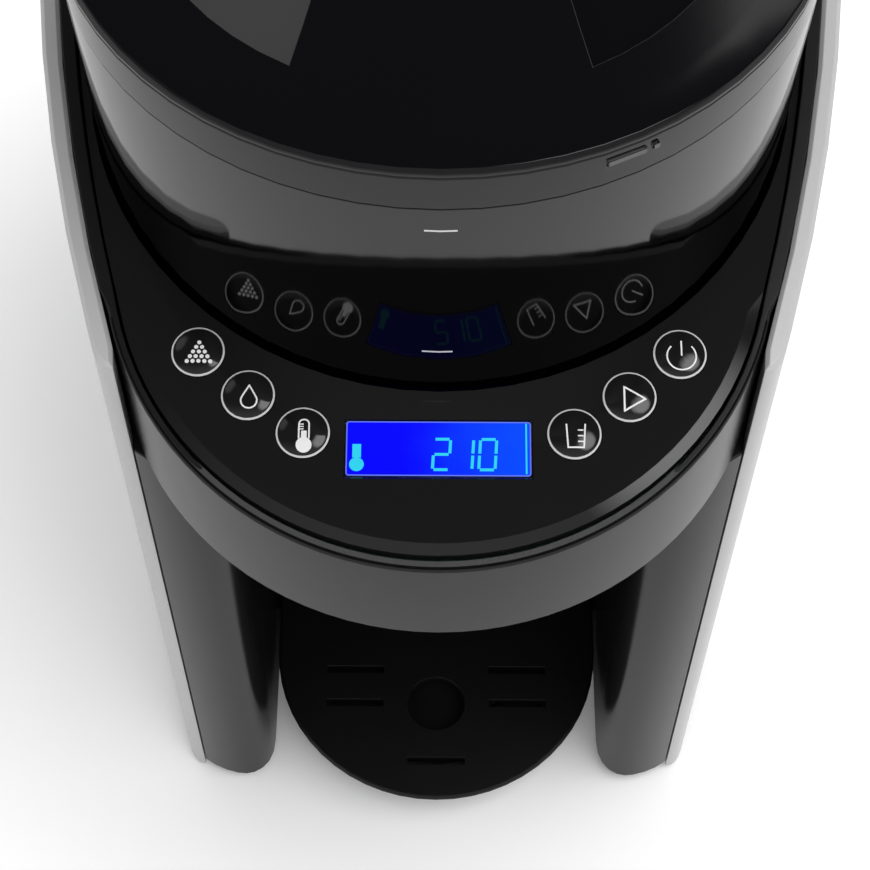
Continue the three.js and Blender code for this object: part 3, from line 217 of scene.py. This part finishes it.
def brushed(name, shade, roughness=0.3, tint=(1, 1, 1)):
    material, tree, shader = new_material(name)
    streak = noise(tree, 900, 3, stretch=(1, 1, 0.04))
    tree.links.new(tinted(tree, streak, grey(shade * 0.88, tint), grey(shade * 1.08, tint)),
                   shader.inputs["Base Color"])
    tree.links.new(spread(tree, streak, roughness * 0.8, roughness * 1.3), shader.inputs["Roughness"])
    shader.inputs["Metallic"].default_value = 1.0
    bumped(tree, shader, streak, 0.08, 0.0002)
    return material


# Finishes

finishes = {
    "silver_panel": moulded("silver_panel", 0.48, 0.34, vary=0.02, coat=0.25, coat_roughness=0.15,
                            metallic=0.1, grain_strength=0.05),
    "dark_gloss": moulded("dark_gloss", 0.009, 0.2, vary=0.05, coat=0.04, coat_roughness=0.1, specular=0.26,
                          orange_peel=0.6),
    "band_grey": moulded("band_grey", 0.01, 0.25, vary=0.04, specular=0.25, orange_peel=0.5),
    "piano_black": moulded("piano_black", 0.007, 0.07, vary=0.1, coat=0.3, specular=0.45, coat_roughness=0.03,
                           grain_strength=0.012, orange_peel=1.2),
    "black_matte": moulded("black_matte", 0.0065, 0.45, vary=0.1, grain=1500, grain_strength=0.25,
                           specular=0.3),
    "smoke_wall": moulded("smoke_wall", 0.0005, 0.05, vary=0.06, coat=0.08, coat_roughness=0.03,
                          grain_strength=0.01, orange_peel=0.8),
    "lid_black": moulded("lid_black", 0.0022, 0.1, vary=0.08, coat=0.05, coat_roughness=0.05,
                         specular=0.4, grain_strength=0.015, orange_peel=1.0, tint=(0.9, 0.86, 1.3)),
    "rubber": moulded("rubber", 0.012, 0.8, vary=0.15, grain=900, grain_strength=0.4),
    "silicone": moulded("silicone", 0.6, 0.5, vary=0.04, grain=700, grain_strength=0.1, tint=(1, 1, 0.97)),
    "display_blue": glowing("display_blue", (0.0, 0.0, 1.0, 1.0), 1.0),
    "window_clear": clear_plastic("window_clear", 0.95, 0.03, 1.0),
    "circuit_green": moulded("circuit_green", 0.12, 0.5, vary=0.1, tint=(0.35, 1.0, 0.5)),
    "white_plastic": moulded("white_plastic", 0.7, 0.4, vary=0.03, grain_strength=0.08, tint=(1, 1, 0.98)),
    "smoke_clear": clear_plastic("smoke_clear", 0.55, 0.05, 0.85),
    "steel": brushed("steel", 0.62),
    "motor_steel": brushed("motor_steel", 0.46, 0.4),
    "brass": brushed("brass", 0.55, 0.3, tint=(1.0, 0.78, 0.4)),
    "hose_clear": moulded("hose_clear", 0.66, 0.35, vary=0.03, coat=0.3),
}

slots = {entry["node"]: entry["material_slot"] for entry in frame["record"]["subparts"]}


def dress(node, material):
    data = nodes[node].data
    if not data.materials:
        data.materials.append(material)
    for index in range(len(data.materials)):
        data.materials[index] = material


for node, slot in slots.items():
    dress(node, finishes[slot])

# Soft edges on the moulded pieces

EDGE_ANGLE = math.radians(28)
edge_widths = {
    "front_housing": 1.2, "head_band": 0.8, "control_panel": 0.25, "powder_lid": 0.35,
    "powder_container": 0.3, "left_side_panel": 0.25, "right_side_panel": 0.25, "rear_cover": 0.6,
    "tank_lid": 0.8, "water_tank": 0.5, "bottle_stand": 0.6, "stand_cover": 0.25, "base_plate": 0.5,
    "funnel_drawer": 0.5, "head_floor": 0.4,
}
PLAIN_EDGE = 0.15
crisp_angles = {"control_panel": 8}


def soften(node, width):
    """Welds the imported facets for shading, rounds the hard edges a little and evens the normals."""
    piece = nodes[node]
    for polygon in piece.data.polygons:
        polygon.use_smooth = True
    weld = piece.modifiers.new("weld", "WELD")
    weld.merge_threshold = 0.00001
    flat = piece.modifiers.new("flat", "DECIMATE")
    flat.decimate_type = "DISSOLVE"
    flat.angle_limit = math.radians(0.6)
    if width:
        edge = piece.modifiers.new("edge", "BEVEL")
        edge.width = width * MM
        edge.segments = 2
        edge.limit_method = "ANGLE"
        edge.angle_limit = EDGE_ANGLE
        edge.use_clamp_overlap = True
    if node in crisp_angles:
        split = piece.modifiers.new("crisp", "EDGE_SPLIT")
        split.split_angle = math.radians(crisp_angles[node])
    even = piece.modifiers.new("even", "WEIGHTED_NORMAL")
    even.weight = 50


for node in nodes:
    soften(node, edge_widths.get(node, PLAIN_EDGE))

# Printed marks and thin trim, draped over the surfaces below them

UP = Vector((0, 0, 1))
MARK_RISE = 0.035
MARK_DEPTH = 0.06
PANEL_HEIGHT = 270
PANEL_TILT = math.radians(10.2)
PANEL_LEAN = math.cos(PANEL_TILT)
PANEL_AXIS = Vector((0, -math.sin(PANEL_TILT), math.cos(PANEL_TILT)))
STEP = 0.3


def skin_of(node):
    data = nodes[node].data
    return BVHTree.FromPolygons([vertex.co for vertex in data.vertices],
                                [tuple(polygon.vertices) for polygon in data.polygons])


def drop_on(skin, direction=-UP):
    """A place finder: plan points in mm are dropped along a direction onto a skin."""
    def find(x, y):
        start = Vector((x, y, 0)) * MM - direction
        start.z += 0 if direction.z == 0 else 1
        hit = skin.ray_cast(start, direction)
        return hit if hit[0] else skin.find_nearest(Vector((x, y, PANEL_HEIGHT)) * MM)
    return find


def stroke(points, width, closed=False):
    """A line of constant width as a flat strip: points and four-sided faces."""
    if closed:
        points = points + points[:1]
    fine = [Vector(points[0])]
    for start, end in zip(points, points[1:]):
        start, end = Vector(start), Vector(end)
        count = max(1, math.ceil((end - start).length / STEP))
        fine += [start.lerp(end, step / count) for step in range(1, count + 1)]
    if closed:
        fine.pop()
    total = len(fine)
    verts = []
    for index, point in enumerate(fine):
        before = fine[(index - 1) % total] if closed or index else point
        after = fine[(index + 1) % total] if closed or index < total - 1 else point
        first = (point - before).normalized() if point != before else (after - point).normalized()
        second = (after - point).normalized() if point != after else first
        along = (first + second).normalized()
        mitre = min(1.6, 1 / max(0.3, along.dot(second)))
        side = Vector((-along.y, along.x)) * width / 2 * mitre
        verts += [point + side, point - side]
    last = total if closed else total - 1
    faces = []
    for index in range(last):
        ahead = (index + 1) % total
        faces.append((2 * index + 1, 2 * ahead + 1, 2 * ahead, 2 * index))
    return verts, faces


def patch(outline, centre=(0, 0), rings=3):
    """A filled shape that can be seen whole from its centre."""
    centre = Vector(centre)
    count = len(outline)
    verts = [centre]
    for ring in range(1, rings + 1):
        verts += [centre.lerp(Vector(point), ring / rings) for point in outline]
    faces = [(0, 1 + step, 1 + (step + 1) % count) for step in range(count)]
    for ring in range(1, rings):
        inner, outer = 1 + (ring - 1) * count, 1 + ring * count
        for step in range(count):
            after = (step + 1) % count
            faces.append((inner + step, outer + step, outer + after, inner + after))
    return verts, faces


def arc(radius, start, end, centre=(0, 0), steps=None):
    """Points on a circle from one angle to another, in degrees."""
    steps = steps or max(6, math.ceil(abs(end - start) * radius / 15))
    angles = [math.radians(start + (end - start) * step / steps) for step in range(steps + 1)]
    return [(centre[0] + radius * math.cos(angle), centre[1] + radius * math.sin(angle)) for angle in angles]


def circle(radius, centre=(0, 0), steps=24):
    return arc(radius, 0, 360, centre, steps)[:-1]


def printed(name, shapes, find, origin, material, body, rise=MARK_RISE, depth=MARK_DEPTH, lean=1.0):
    """Flat shapes laid on a surface as one thin closed skin that rides with a body."""
    mesh = bmesh.new()
    for verts, faces in shapes:
        tops, bottoms = [], []
        for vert in verts:
            place, normal, _, _ = find(origin[0] + vert[0], origin[1] + vert[1] * lean)
            tops.append(mesh.verts.new(place + normal * rise * MM))
            bottoms.append(mesh.verts.new(place - normal * depth * MM))
        edges = {}
        for face in faces:
            mesh.faces.new([tops[index] for index in face])
            mesh.faces.new([bottoms[index] for index in reversed(face)])
            for start, end in zip(face, face[1:] + face[:1]):
                edges[(start, end)] = True
        for start, end in edges:
            if (end, start) not in edges:
                mesh.faces.new([tops[end], tops[start], bottoms[start], bottoms[end]])
    bmesh.ops.recalc_face_normals(mesh, faces=mesh.faces)
    data = bpy.data.meshes.new(name)
    mesh.to_mesh(data)
    mesh.free()
    piece = bpy.data.objects.new(name, data)
    bpy.context.scene.collection.objects.link(piece)
    data.materials.append(material)
    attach(piece, body)
    return piece


# Symbols on the buttons, in mm from each button's centre

LINE = 0.42


def dot_rows():
    """Fifteen round grains in five widening rows: powder."""
    shapes = []
    for row, height in enumerate((3.2, 1.85, 0.5, -0.85, -2.2)):
        for place in range(row + 1):
            centre = ((place - row / 2) * 1.57, height)
            shapes.append(patch(circle(0.58, centre, 12), centre, 1))
    return shapes


def drop_outline():
    """A drop of water: a round foot that runs up to a point."""
    foot = arc(2.15, -205, 25, (0, -1.0))
    return [stroke([(0, 3.3)] + foot, LINE, closed=True)]


def thermometer():
    """A bulb and a stem, filled below and with four ticks above."""
    bulb = patch(circle(2.1, (0, -2.9)), (0, -2.9))
    fill = patch([(-0.75, -1.2), (0.75, -1.2), (0.75, 1.0), (-0.75, 1.0)], (0, -0.2), 2)
    stem = stroke([(-1.35, -1.2), (-1.35, 2.9)] + arc(1.35, 180, 0, (0, 2.9)) + [(1.35, -1.2)], LINE)
    ticks = [stroke([(-1.3, height), (-0.1, height)], 0.3) for height in (1.5, 2.2, 2.9)]
    return [bulb, fill, stem] + ticks


def measure_cup():
    """A beaker with level bars: how much is made."""
    cup = stroke([(-2.5, 3.4), (-2.1, -3.2), (2.1, -3.2), (2.5, 3.4)], LINE)
    bars = [stroke([(0.5, height), (2.0, height)], 0.36) for height in (-1.6, 0.0, 1.6)]
    return [cup] + bars


def triangle():
    return [stroke([(-1.8, -3.4), (3.8, 0), (-1.8, 3.4)], 0.5, closed=True)]


def power_sign():
    return [stroke(arc(3.9, 134, 406), LINE), stroke([(0, 0.0), (0, 4.4)], LINE)]


symbols = {
    "powder": dot_rows, "water": drop_outline, "temperature": thermometer,
    "volume": measure_cup, "start": triangle, "power": power_sign,
}
BUTTON_RADIUS = 7.3
RING_WIDTH = 0.46
RING_INSET = 0.37
RING_RISE = 0.08
SYMBOL_SHIFT = (0.35, -0.8)
DOME_HEIGHT = 1.1

print_grey = moulded("print_grey", 0.55, 0.5, vary=0.05, grain_strength=0.1)
print_white = moulded("print_white", 0.75, 0.45, vary=0.04, grain_strength=0.1)


def middle(node):
    low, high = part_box(node)
    return ((low[0] + high[0]) / 2 / MM, (low[1] + high[1]) / 2 / MM)


def dome_top(node):
    top = max((vertex.co for vertex in nodes[node].data.vertices), key=lambda place: place.dot(PANEL_AXIS))
    return (top.x / MM, top.y / MM)


for key, symbol in symbols.items():
    button = key + "_button"
    find = drop_on(skin_of(button))
    ring = stroke(circle(BUTTON_RADIUS - RING_INSET, steps=60), RING_WIDTH, closed=True)
    centre = dome_top(button)
    place = (centre[0] + SYMBOL_SHIFT[0], centre[1] + SYMBOL_SHIFT[1])
    rim = (centre[0], centre[1] + DOME_HEIGHT * math.sin(PANEL_TILT))
    printed(button + "_symbol", symbol(), find, place, print_white, key + "_key", lean=PANEL_LEAN)
    printed(button + "_ring", [ring], find, rim, print_grey, key + "_key", RING_RISE, lean=PANEL_LEAN)

# What the display shows: three plain digits and a small thermometer, under the window

SEGMENTS = {"0": "abcdef", "1": "bc", "2": "abdeg"}
DIGIT_WIDTH = 4.3
DIGIT_HEIGHT = 8.6
DIGIT_STEP = 6.1
DIGIT_LEAN = 0.06
BAR = 0.8


def digit(sign, left, foot):
    half = DIGIT_HEIGHT / 2
    gap = 0.3
    bars = {
        "a": ((gap, DIGIT_HEIGHT), (DIGIT_WIDTH - gap, DIGIT_HEIGHT)),
        "b": ((DIGIT_WIDTH, half + gap), (DIGIT_WIDTH, DIGIT_HEIGHT - gap)),
        "c": ((DIGIT_WIDTH, gap), (DIGIT_WIDTH, half - gap)),
        "d": ((gap, 0), (DIGIT_WIDTH - gap, 0)),
        "e": ((0, gap), (0, half - gap)),
        "f": ((0, half + gap), (0, DIGIT_HEIGHT - gap)),
        "g": ((gap, half), (DIGIT_WIDTH - gap, half)),
    }
    lines = []
    for name in SEGMENTS[sign]:
        ends = [(left + x + y * DIGIT_LEAN, foot + y) for x, y in bars[name]]
        lines.append(stroke(ends, BAR))
    return lines


def display_marks():
    shapes = []
    for place, sign in enumerate("210"):
        shapes += digit(sign, -1.6 + place * DIGIT_STEP, -5.9)
    bulb = (-21.6, -4.5)
    shapes.append(patch(circle(1.95, bulb, 20), bulb, 2))
    shapes.append(patch([(-22.75, -2.6), (-20.45, -2.6), (-20.45, 1.2), (-22.75, 1.2)], (-21.6, -0.7), 2))
    return shapes


def rounded(half_x, half_y, radius):
    """A closed outline with round corners about the origin."""
    outline = []
    for turn, (x, y) in enumerate(((1, 1), (-1, 1), (-1, -1), (1, -1))):
        corner = (x * (half_x - radius), y * (half_y - radius))
        outline += arc(radius, 90 * turn, 90 * turn + 90, corner, 5)
    return outline


def display_blue():
    """Blue light that turns a little greener towards the right."""
    material, tree, shader = new_material("display_film")
    place = add(tree, "ShaderNodeTexCoord")
    axes = add(tree, "ShaderNodeSeparateXYZ")
    tree.links.new(place.outputs["Object"], axes.inputs[0])
    drift = spread(tree, noise(tree, 120, 3), -0.006, 0.006)
    across = ramp(tree, maths(tree, "ADD", axes.outputs["X"], drift), -0.01, 0.024, 0, 1)
    tone = tinted(tree, across, (0.0, 0.0, 1.0, 1.0), (0.0, 0.07, 1.0, 1.0))
    path = add(tree, "ShaderNodeLightPath")
    shader.inputs["Base Color"].default_value = grey(0.002)
    shader.inputs["Specular IOR Level"].default_value = 0.2
    shader.inputs["Roughness"].default_value = 0.15
    tree.links.new(tone, shader.inputs["Emission Color"])
    shine = spread(tree, path.outputs["Is Glossy Ray"], 1.0, SIDE_SHINE)
    tree.links.new(shine, shader.inputs["Emission Strength"])
    return material


FILM_HALF = (24.4, 7.65)
FILM_CORNER = 0.8
FRAME_INSET = 0.1
FRAME_WIDTH = 0.32
END_LINE = [(23.2, -7.05), (23.2, 7.25)]
END_WIDTH = 0.45
display_middle = middle("display_window")
display_find = drop_on(skin_of("display_window"))
display_print = glowing("display_cyan", (0.03, 0.75, 1.0, 1.0), 0.9)
display_edge = glowing("display_edge", (0.15, 0.22, 1.0, 1.0), 0.9)
film = patch(rounded(*FILM_HALF, FILM_CORNER), rings=1)
frame_shape = [size - FRAME_INSET for size in (*FILM_HALF, FILM_CORNER)]
frame_line = stroke(rounded(*frame_shape), FRAME_WIDTH, closed=True)
end_line = stroke(END_LINE, END_WIDTH)
layers = (
    ("display_film", [film], display_blue(), 0.02),
    ("display_frame", [frame_line], display_edge, 0.05),
    ("display_digits", display_marks(), display_print, 0.05),
    ("display_end", [end_line], display_print, 0.06),
)
for name, shapes, material, rise in layers:
    printed(name, shapes, display_find, display_middle, material, "machine", rise, lean=PANEL_LEAN)

# Level lines on the powder container's wall


def drop_forward(skin, height):
    """A place finder for marks on the front wall: across in mm, up from a height."""
    def find(x, z):
        return skin.ray_cast(Vector((x * MM, -1, (height + z) * MM)), Vector((0, 1, 0)))
    return find


container_skin = skin_of("powder_container")
LEVEL_WIDTH = 0.6
LEVEL_REACH = 4.0
for name, height, centre in (("upper", 345.4, 0.2), ("lower", 292.6, -0.5)):
    line = stroke([(centre - LEVEL_REACH, 0), (centre + LEVEL_REACH, 0)], LEVEL_WIDTH)
    find = drop_forward(container_skin, height)
    printed("level_line_" + name, [line], find, (0, 0), print_white, "container")

# Level lines on the back of the water tank


def drop_back(skin):
    """A place finder for marks on the rear wall: across and up in mm."""
    def find(x, z):
        return skin.ray_cast(Vector((x * MM, 1, z * MM)), Vector((0, -1, 0)))
    return find


tank_low, tank_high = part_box("water_tank")
TANK_MARKS = 6
TANK_SPAN = (0.2, 0.8)
TANK_MARK_X = -40
TANK_MARK_LENGTHS = (7.0, 12.0)
TANK_MARK_WIDTH = 0.8
bars = []
for index in range(TANK_MARKS):
    share = TANK_SPAN[0] + (TANK_SPAN[1] - TANK_SPAN[0]) * index / (TANK_MARKS - 1)
    height = (tank_low[2] + (tank_high[2] - tank_low[2]) * share) / MM
    start = TANK_MARK_X - TANK_MARK_LENGTHS[index % 2]
    bars.append(stroke([(start, height), (TANK_MARK_X, height)], TANK_MARK_WIDTH))
printed("tank_level_lines", bars, drop_back(skin_of("water_tank")), (0, 0), print_grey, "tank")

# Painted highlight on the top faces of the lock tab on the lid's skirt

lid_low, lid_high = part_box("powder_lid")
LID_CENTRE = ((lid_low[0] + lid_high[0]) / 2, axis_y)
LID_RADIUS = 100.0
MARK_ANGLE = math.radians(-64.2)
MARK_DROP = 6.38
MARK_HEIGHT = lid_high[2] / MM - MARK_DROP
MARK_WIDTH = 1.4
MARK_BAR = [(-4.9, 0), (4.9, 0)]
MARK_DOT = [(7.1, 0), (8.6, 0)]


def drop_inward(skin, angle, height):
    """A place finder for marks on a round wall: around in mm, up from a height."""
    def find(x, z):
        turn = angle + x / LID_RADIUS
        outward = Vector((math.cos(turn), math.sin(turn), 0))
        start = Vector((LID_CENTRE[0], LID_CENTRE[1], (height + z) * MM)) + outward
        return skin.ray_cast(start, -outward)
    return find


mark_find = drop_inward(skin_of("powder_lid"), MARK_ANGLE, MARK_HEIGHT)
# Lighter grey laid on the tab's top faces: painted highlight
painted_tab_highlight = moulded("painted_tab_highlight", 0.11, 0.4, specular=0.3)
mark_shapes = [stroke(line, MARK_WIDTH) for line in (MARK_BAR, MARK_DOT)]
printed("lock_tab_highlight", mark_shapes, mark_find, (0, 0), painted_tab_highlight, "lid")

# Near-black line in the groove along the top edge of the ring band: painted shade; lighter satin strip beside it:
# painted sheen

BAND_RADIUS = 92.495
HEAD_BEHIND_AXIS = -55.4
HEAD_Y = axis_y / MM + HEAD_BEHIND_AXIS
BAND_ARC = (194.5, 345.5)
band_find = drop_on(skin_of("head_band"))
# Near-black colour laid in the groove: painted shade
groove_painted_shade = moulded("groove_painted_shade", 0.001, 0.6, specular=0.1)
# Lighter grey than the band, laid on its upward rim: painted sheen of the overhead light
rim_painted_sheen = moulded("rim_painted_sheen", 0.045, 0.4, vary=0.04, specular=0.3)
band_lines = (("band_edge_line", 0.8, 0.55, groove_painted_shade), ("band_rim_sheen", 2.05, 1.7, rim_painted_sheen))
for name, inset, width, material in band_lines:
    line = stroke(arc(BAND_RADIUS - inset, *BAND_ARC, (0, HEAD_Y), 120), width)
    printed(name, [line], band_find, (0, 0), material, "machine")

# Studio


def make_floor():
    half = 6.0
    mesh = bpy.data.meshes.new("studio_floor")
    corners = [(-half, -half, 0), (half, -half, 0), (half, half, 0), (-half, half, 0)]
    mesh.from_pydata(corners, [], [(0, 1, 2, 3)])
    floor = bpy.data.objects.new("studio_floor", mesh)
    bpy.context.scene.collection.objects.link(floor)
    material, tree, shader = new_material("studio_floor")
    shader.inputs["Base Color"].default_value = grey(0.95)
    shader.inputs["Roughness"].default_value = 0.9
    shader.inputs["Specular IOR Level"].default_value = 0.0
    path = add(tree, "ShaderNodeLightPath")
    place = add(tree, "ShaderNodeTexCoord")
    reach = add(tree, "ShaderNodeVectorMath", operation="LENGTH")
    tree.links.new(place.outputs["Object"], reach.inputs[0])
    lift = ramp(tree, reach.outputs["Value"], *FLOOR_REACH, *FLOOR_LIFT)
    shader.inputs["Emission Color"].default_value = grey(1.0)
    seen = maths(tree, "MULTIPLY", path.outputs["Is Camera Ray"], lift)
    tree.links.new(seen, shader.inputs["Emission Strength"])
    mesh.materials.append(material)


def area_light(name, place, aim, size, power):
    data = bpy.data.lights.new(name, "AREA")
    data.shape = "SQUARE"
    data.size = size
    data.energy = power
    lamp = bpy.data.objects.new(name, data)
    bpy.context.scene.collection.objects.link(lamp)
    direction = Vector(aim) - Vector(place)
    lamp.matrix_world = Matrix.Translation(place) @ direction.to_track_quat("-Z", "Y").to_matrix().to_4x4()
    return lamp


def glow_spot(tree, direction, aim, inner, outer, level):
    """A soft round light in the sky that only gloss shows, sized by angles in degrees."""
    dot = add(tree, "ShaderNodeVectorMath", operation="DOT_PRODUCT")
    tree.links.new(direction, dot.inputs[0])
    dot.inputs[1].default_value = Vector(aim).normalized()
    start, end = (math.cos(math.radians(angle)) for angle in (outer, inner))
    return ramp(tree, dot.outputs["Value"], start, end, 0, level)


def glow_patch(tree, axes, across, along, level):
    """A soft four-sided light in the sky that only gloss shows, by slopes across and along."""
    total = level
    for name, (start, full, fade, end) in (("X", across), ("Y", along)):
        slope = maths(tree, "DIVIDE", axes.outputs[name], axes.outputs["Z"])
        rise = ramp(tree, slope, start, full, 0, 1)
        fall = ramp(tree, slope, fade, end, 1, 0)
        total = maths(tree, "MULTIPLY", maths(tree, "MULTIPLY", rise, fall), total)
    above = maths(tree, "GREATER_THAN", axes.outputs["Z"], 0.1)
    return maths(tree, "MULTIPLY", total, above)


def make_world():
    """White to the camera, an even soft light on matt surfaces and a shaped sky in gloss."""
    world = bpy.data.worlds.new("studio")
    world.use_nodes = True
    bpy.context.scene.world = world
    tree = world.node_tree
    back = tree.nodes["Background"]
    path = add(tree, "ShaderNodeLightPath")
    direction = add(tree, "ShaderNodeTexCoord").outputs["Generated"]
    axes = add(tree, "ShaderNodeSeparateXYZ")
    tree.links.new(direction, axes.inputs[0])
    horizon = ramp(tree, axes.outputs["Z"], 0.35, 0.6, HORIZON_LEVEL, 0)
    front = ramp(tree, axes.outputs["Y"], -0.35, 0.05, FRONT_LEVEL, CEILING_LEVEL)
    sky = maths(tree, "MAXIMUM", horizon, front)
    first = maths(tree, "LESS_THAN", path.outputs["Glossy Depth"], 1.5)
    for spot in SKY_SPOTS:
        glow = maths(tree, "MULTIPLY", glow_spot(tree, direction, *spot), first)
        sky = maths(tree, "MAXIMUM", sky, glow)
    sky = maths(tree, "MAXIMUM", sky, glow_patch(tree, axes, *WELL_PATCH))
    pick = add(tree, "ShaderNodeMix", data_type="FLOAT")
    tree.links.new(path.outputs["Is Glossy Ray"], pick.inputs["Factor"])
    pick.inputs["A"].default_value = AMBIENT_LEVEL
    tree.links.new(sky, pick.inputs["B"])
    level = maths(tree, "MAXIMUM", pick.outputs["Result"], path.outputs["Is Camera Ray"])
    back.inputs["Color"].default_value = grey(1.0)
    tree.links.new(level, back.inputs["Strength"])


AMBIENT_LEVEL = 0.62
FLOOR_LIFT = (0.1, 0.5)
FLOOR_REACH = (0.14, 0.5)
HORIZON_LEVEL = 0.9
FRONT_LEVEL = 0.45
CEILING_LEVEL = 0.06
SKY_SPOTS = [((0.33, 0.015, 0.945), 7.0, 15.0, 3.6), ((-0.46, 0.43, 0.77), 5.0, 13.0, 0.6)]
WELL_PATCH = ((0.185, 0.2, 0.34, 0.38), (0.84, 0.88, 1.06, 1.12), 1.25)
KEY_PLACE = (0.55, -0.45, 1.7)
KEY_AIM = (0, -0.05, 0.1)
KEY_SIZE = 1.3
KEY_POWER = 19
make_floor()
make_world()
key = area_light("key", KEY_PLACE, KEY_AIM, KEY_SIZE, KEY_POWER)
key.visible_glossy = False
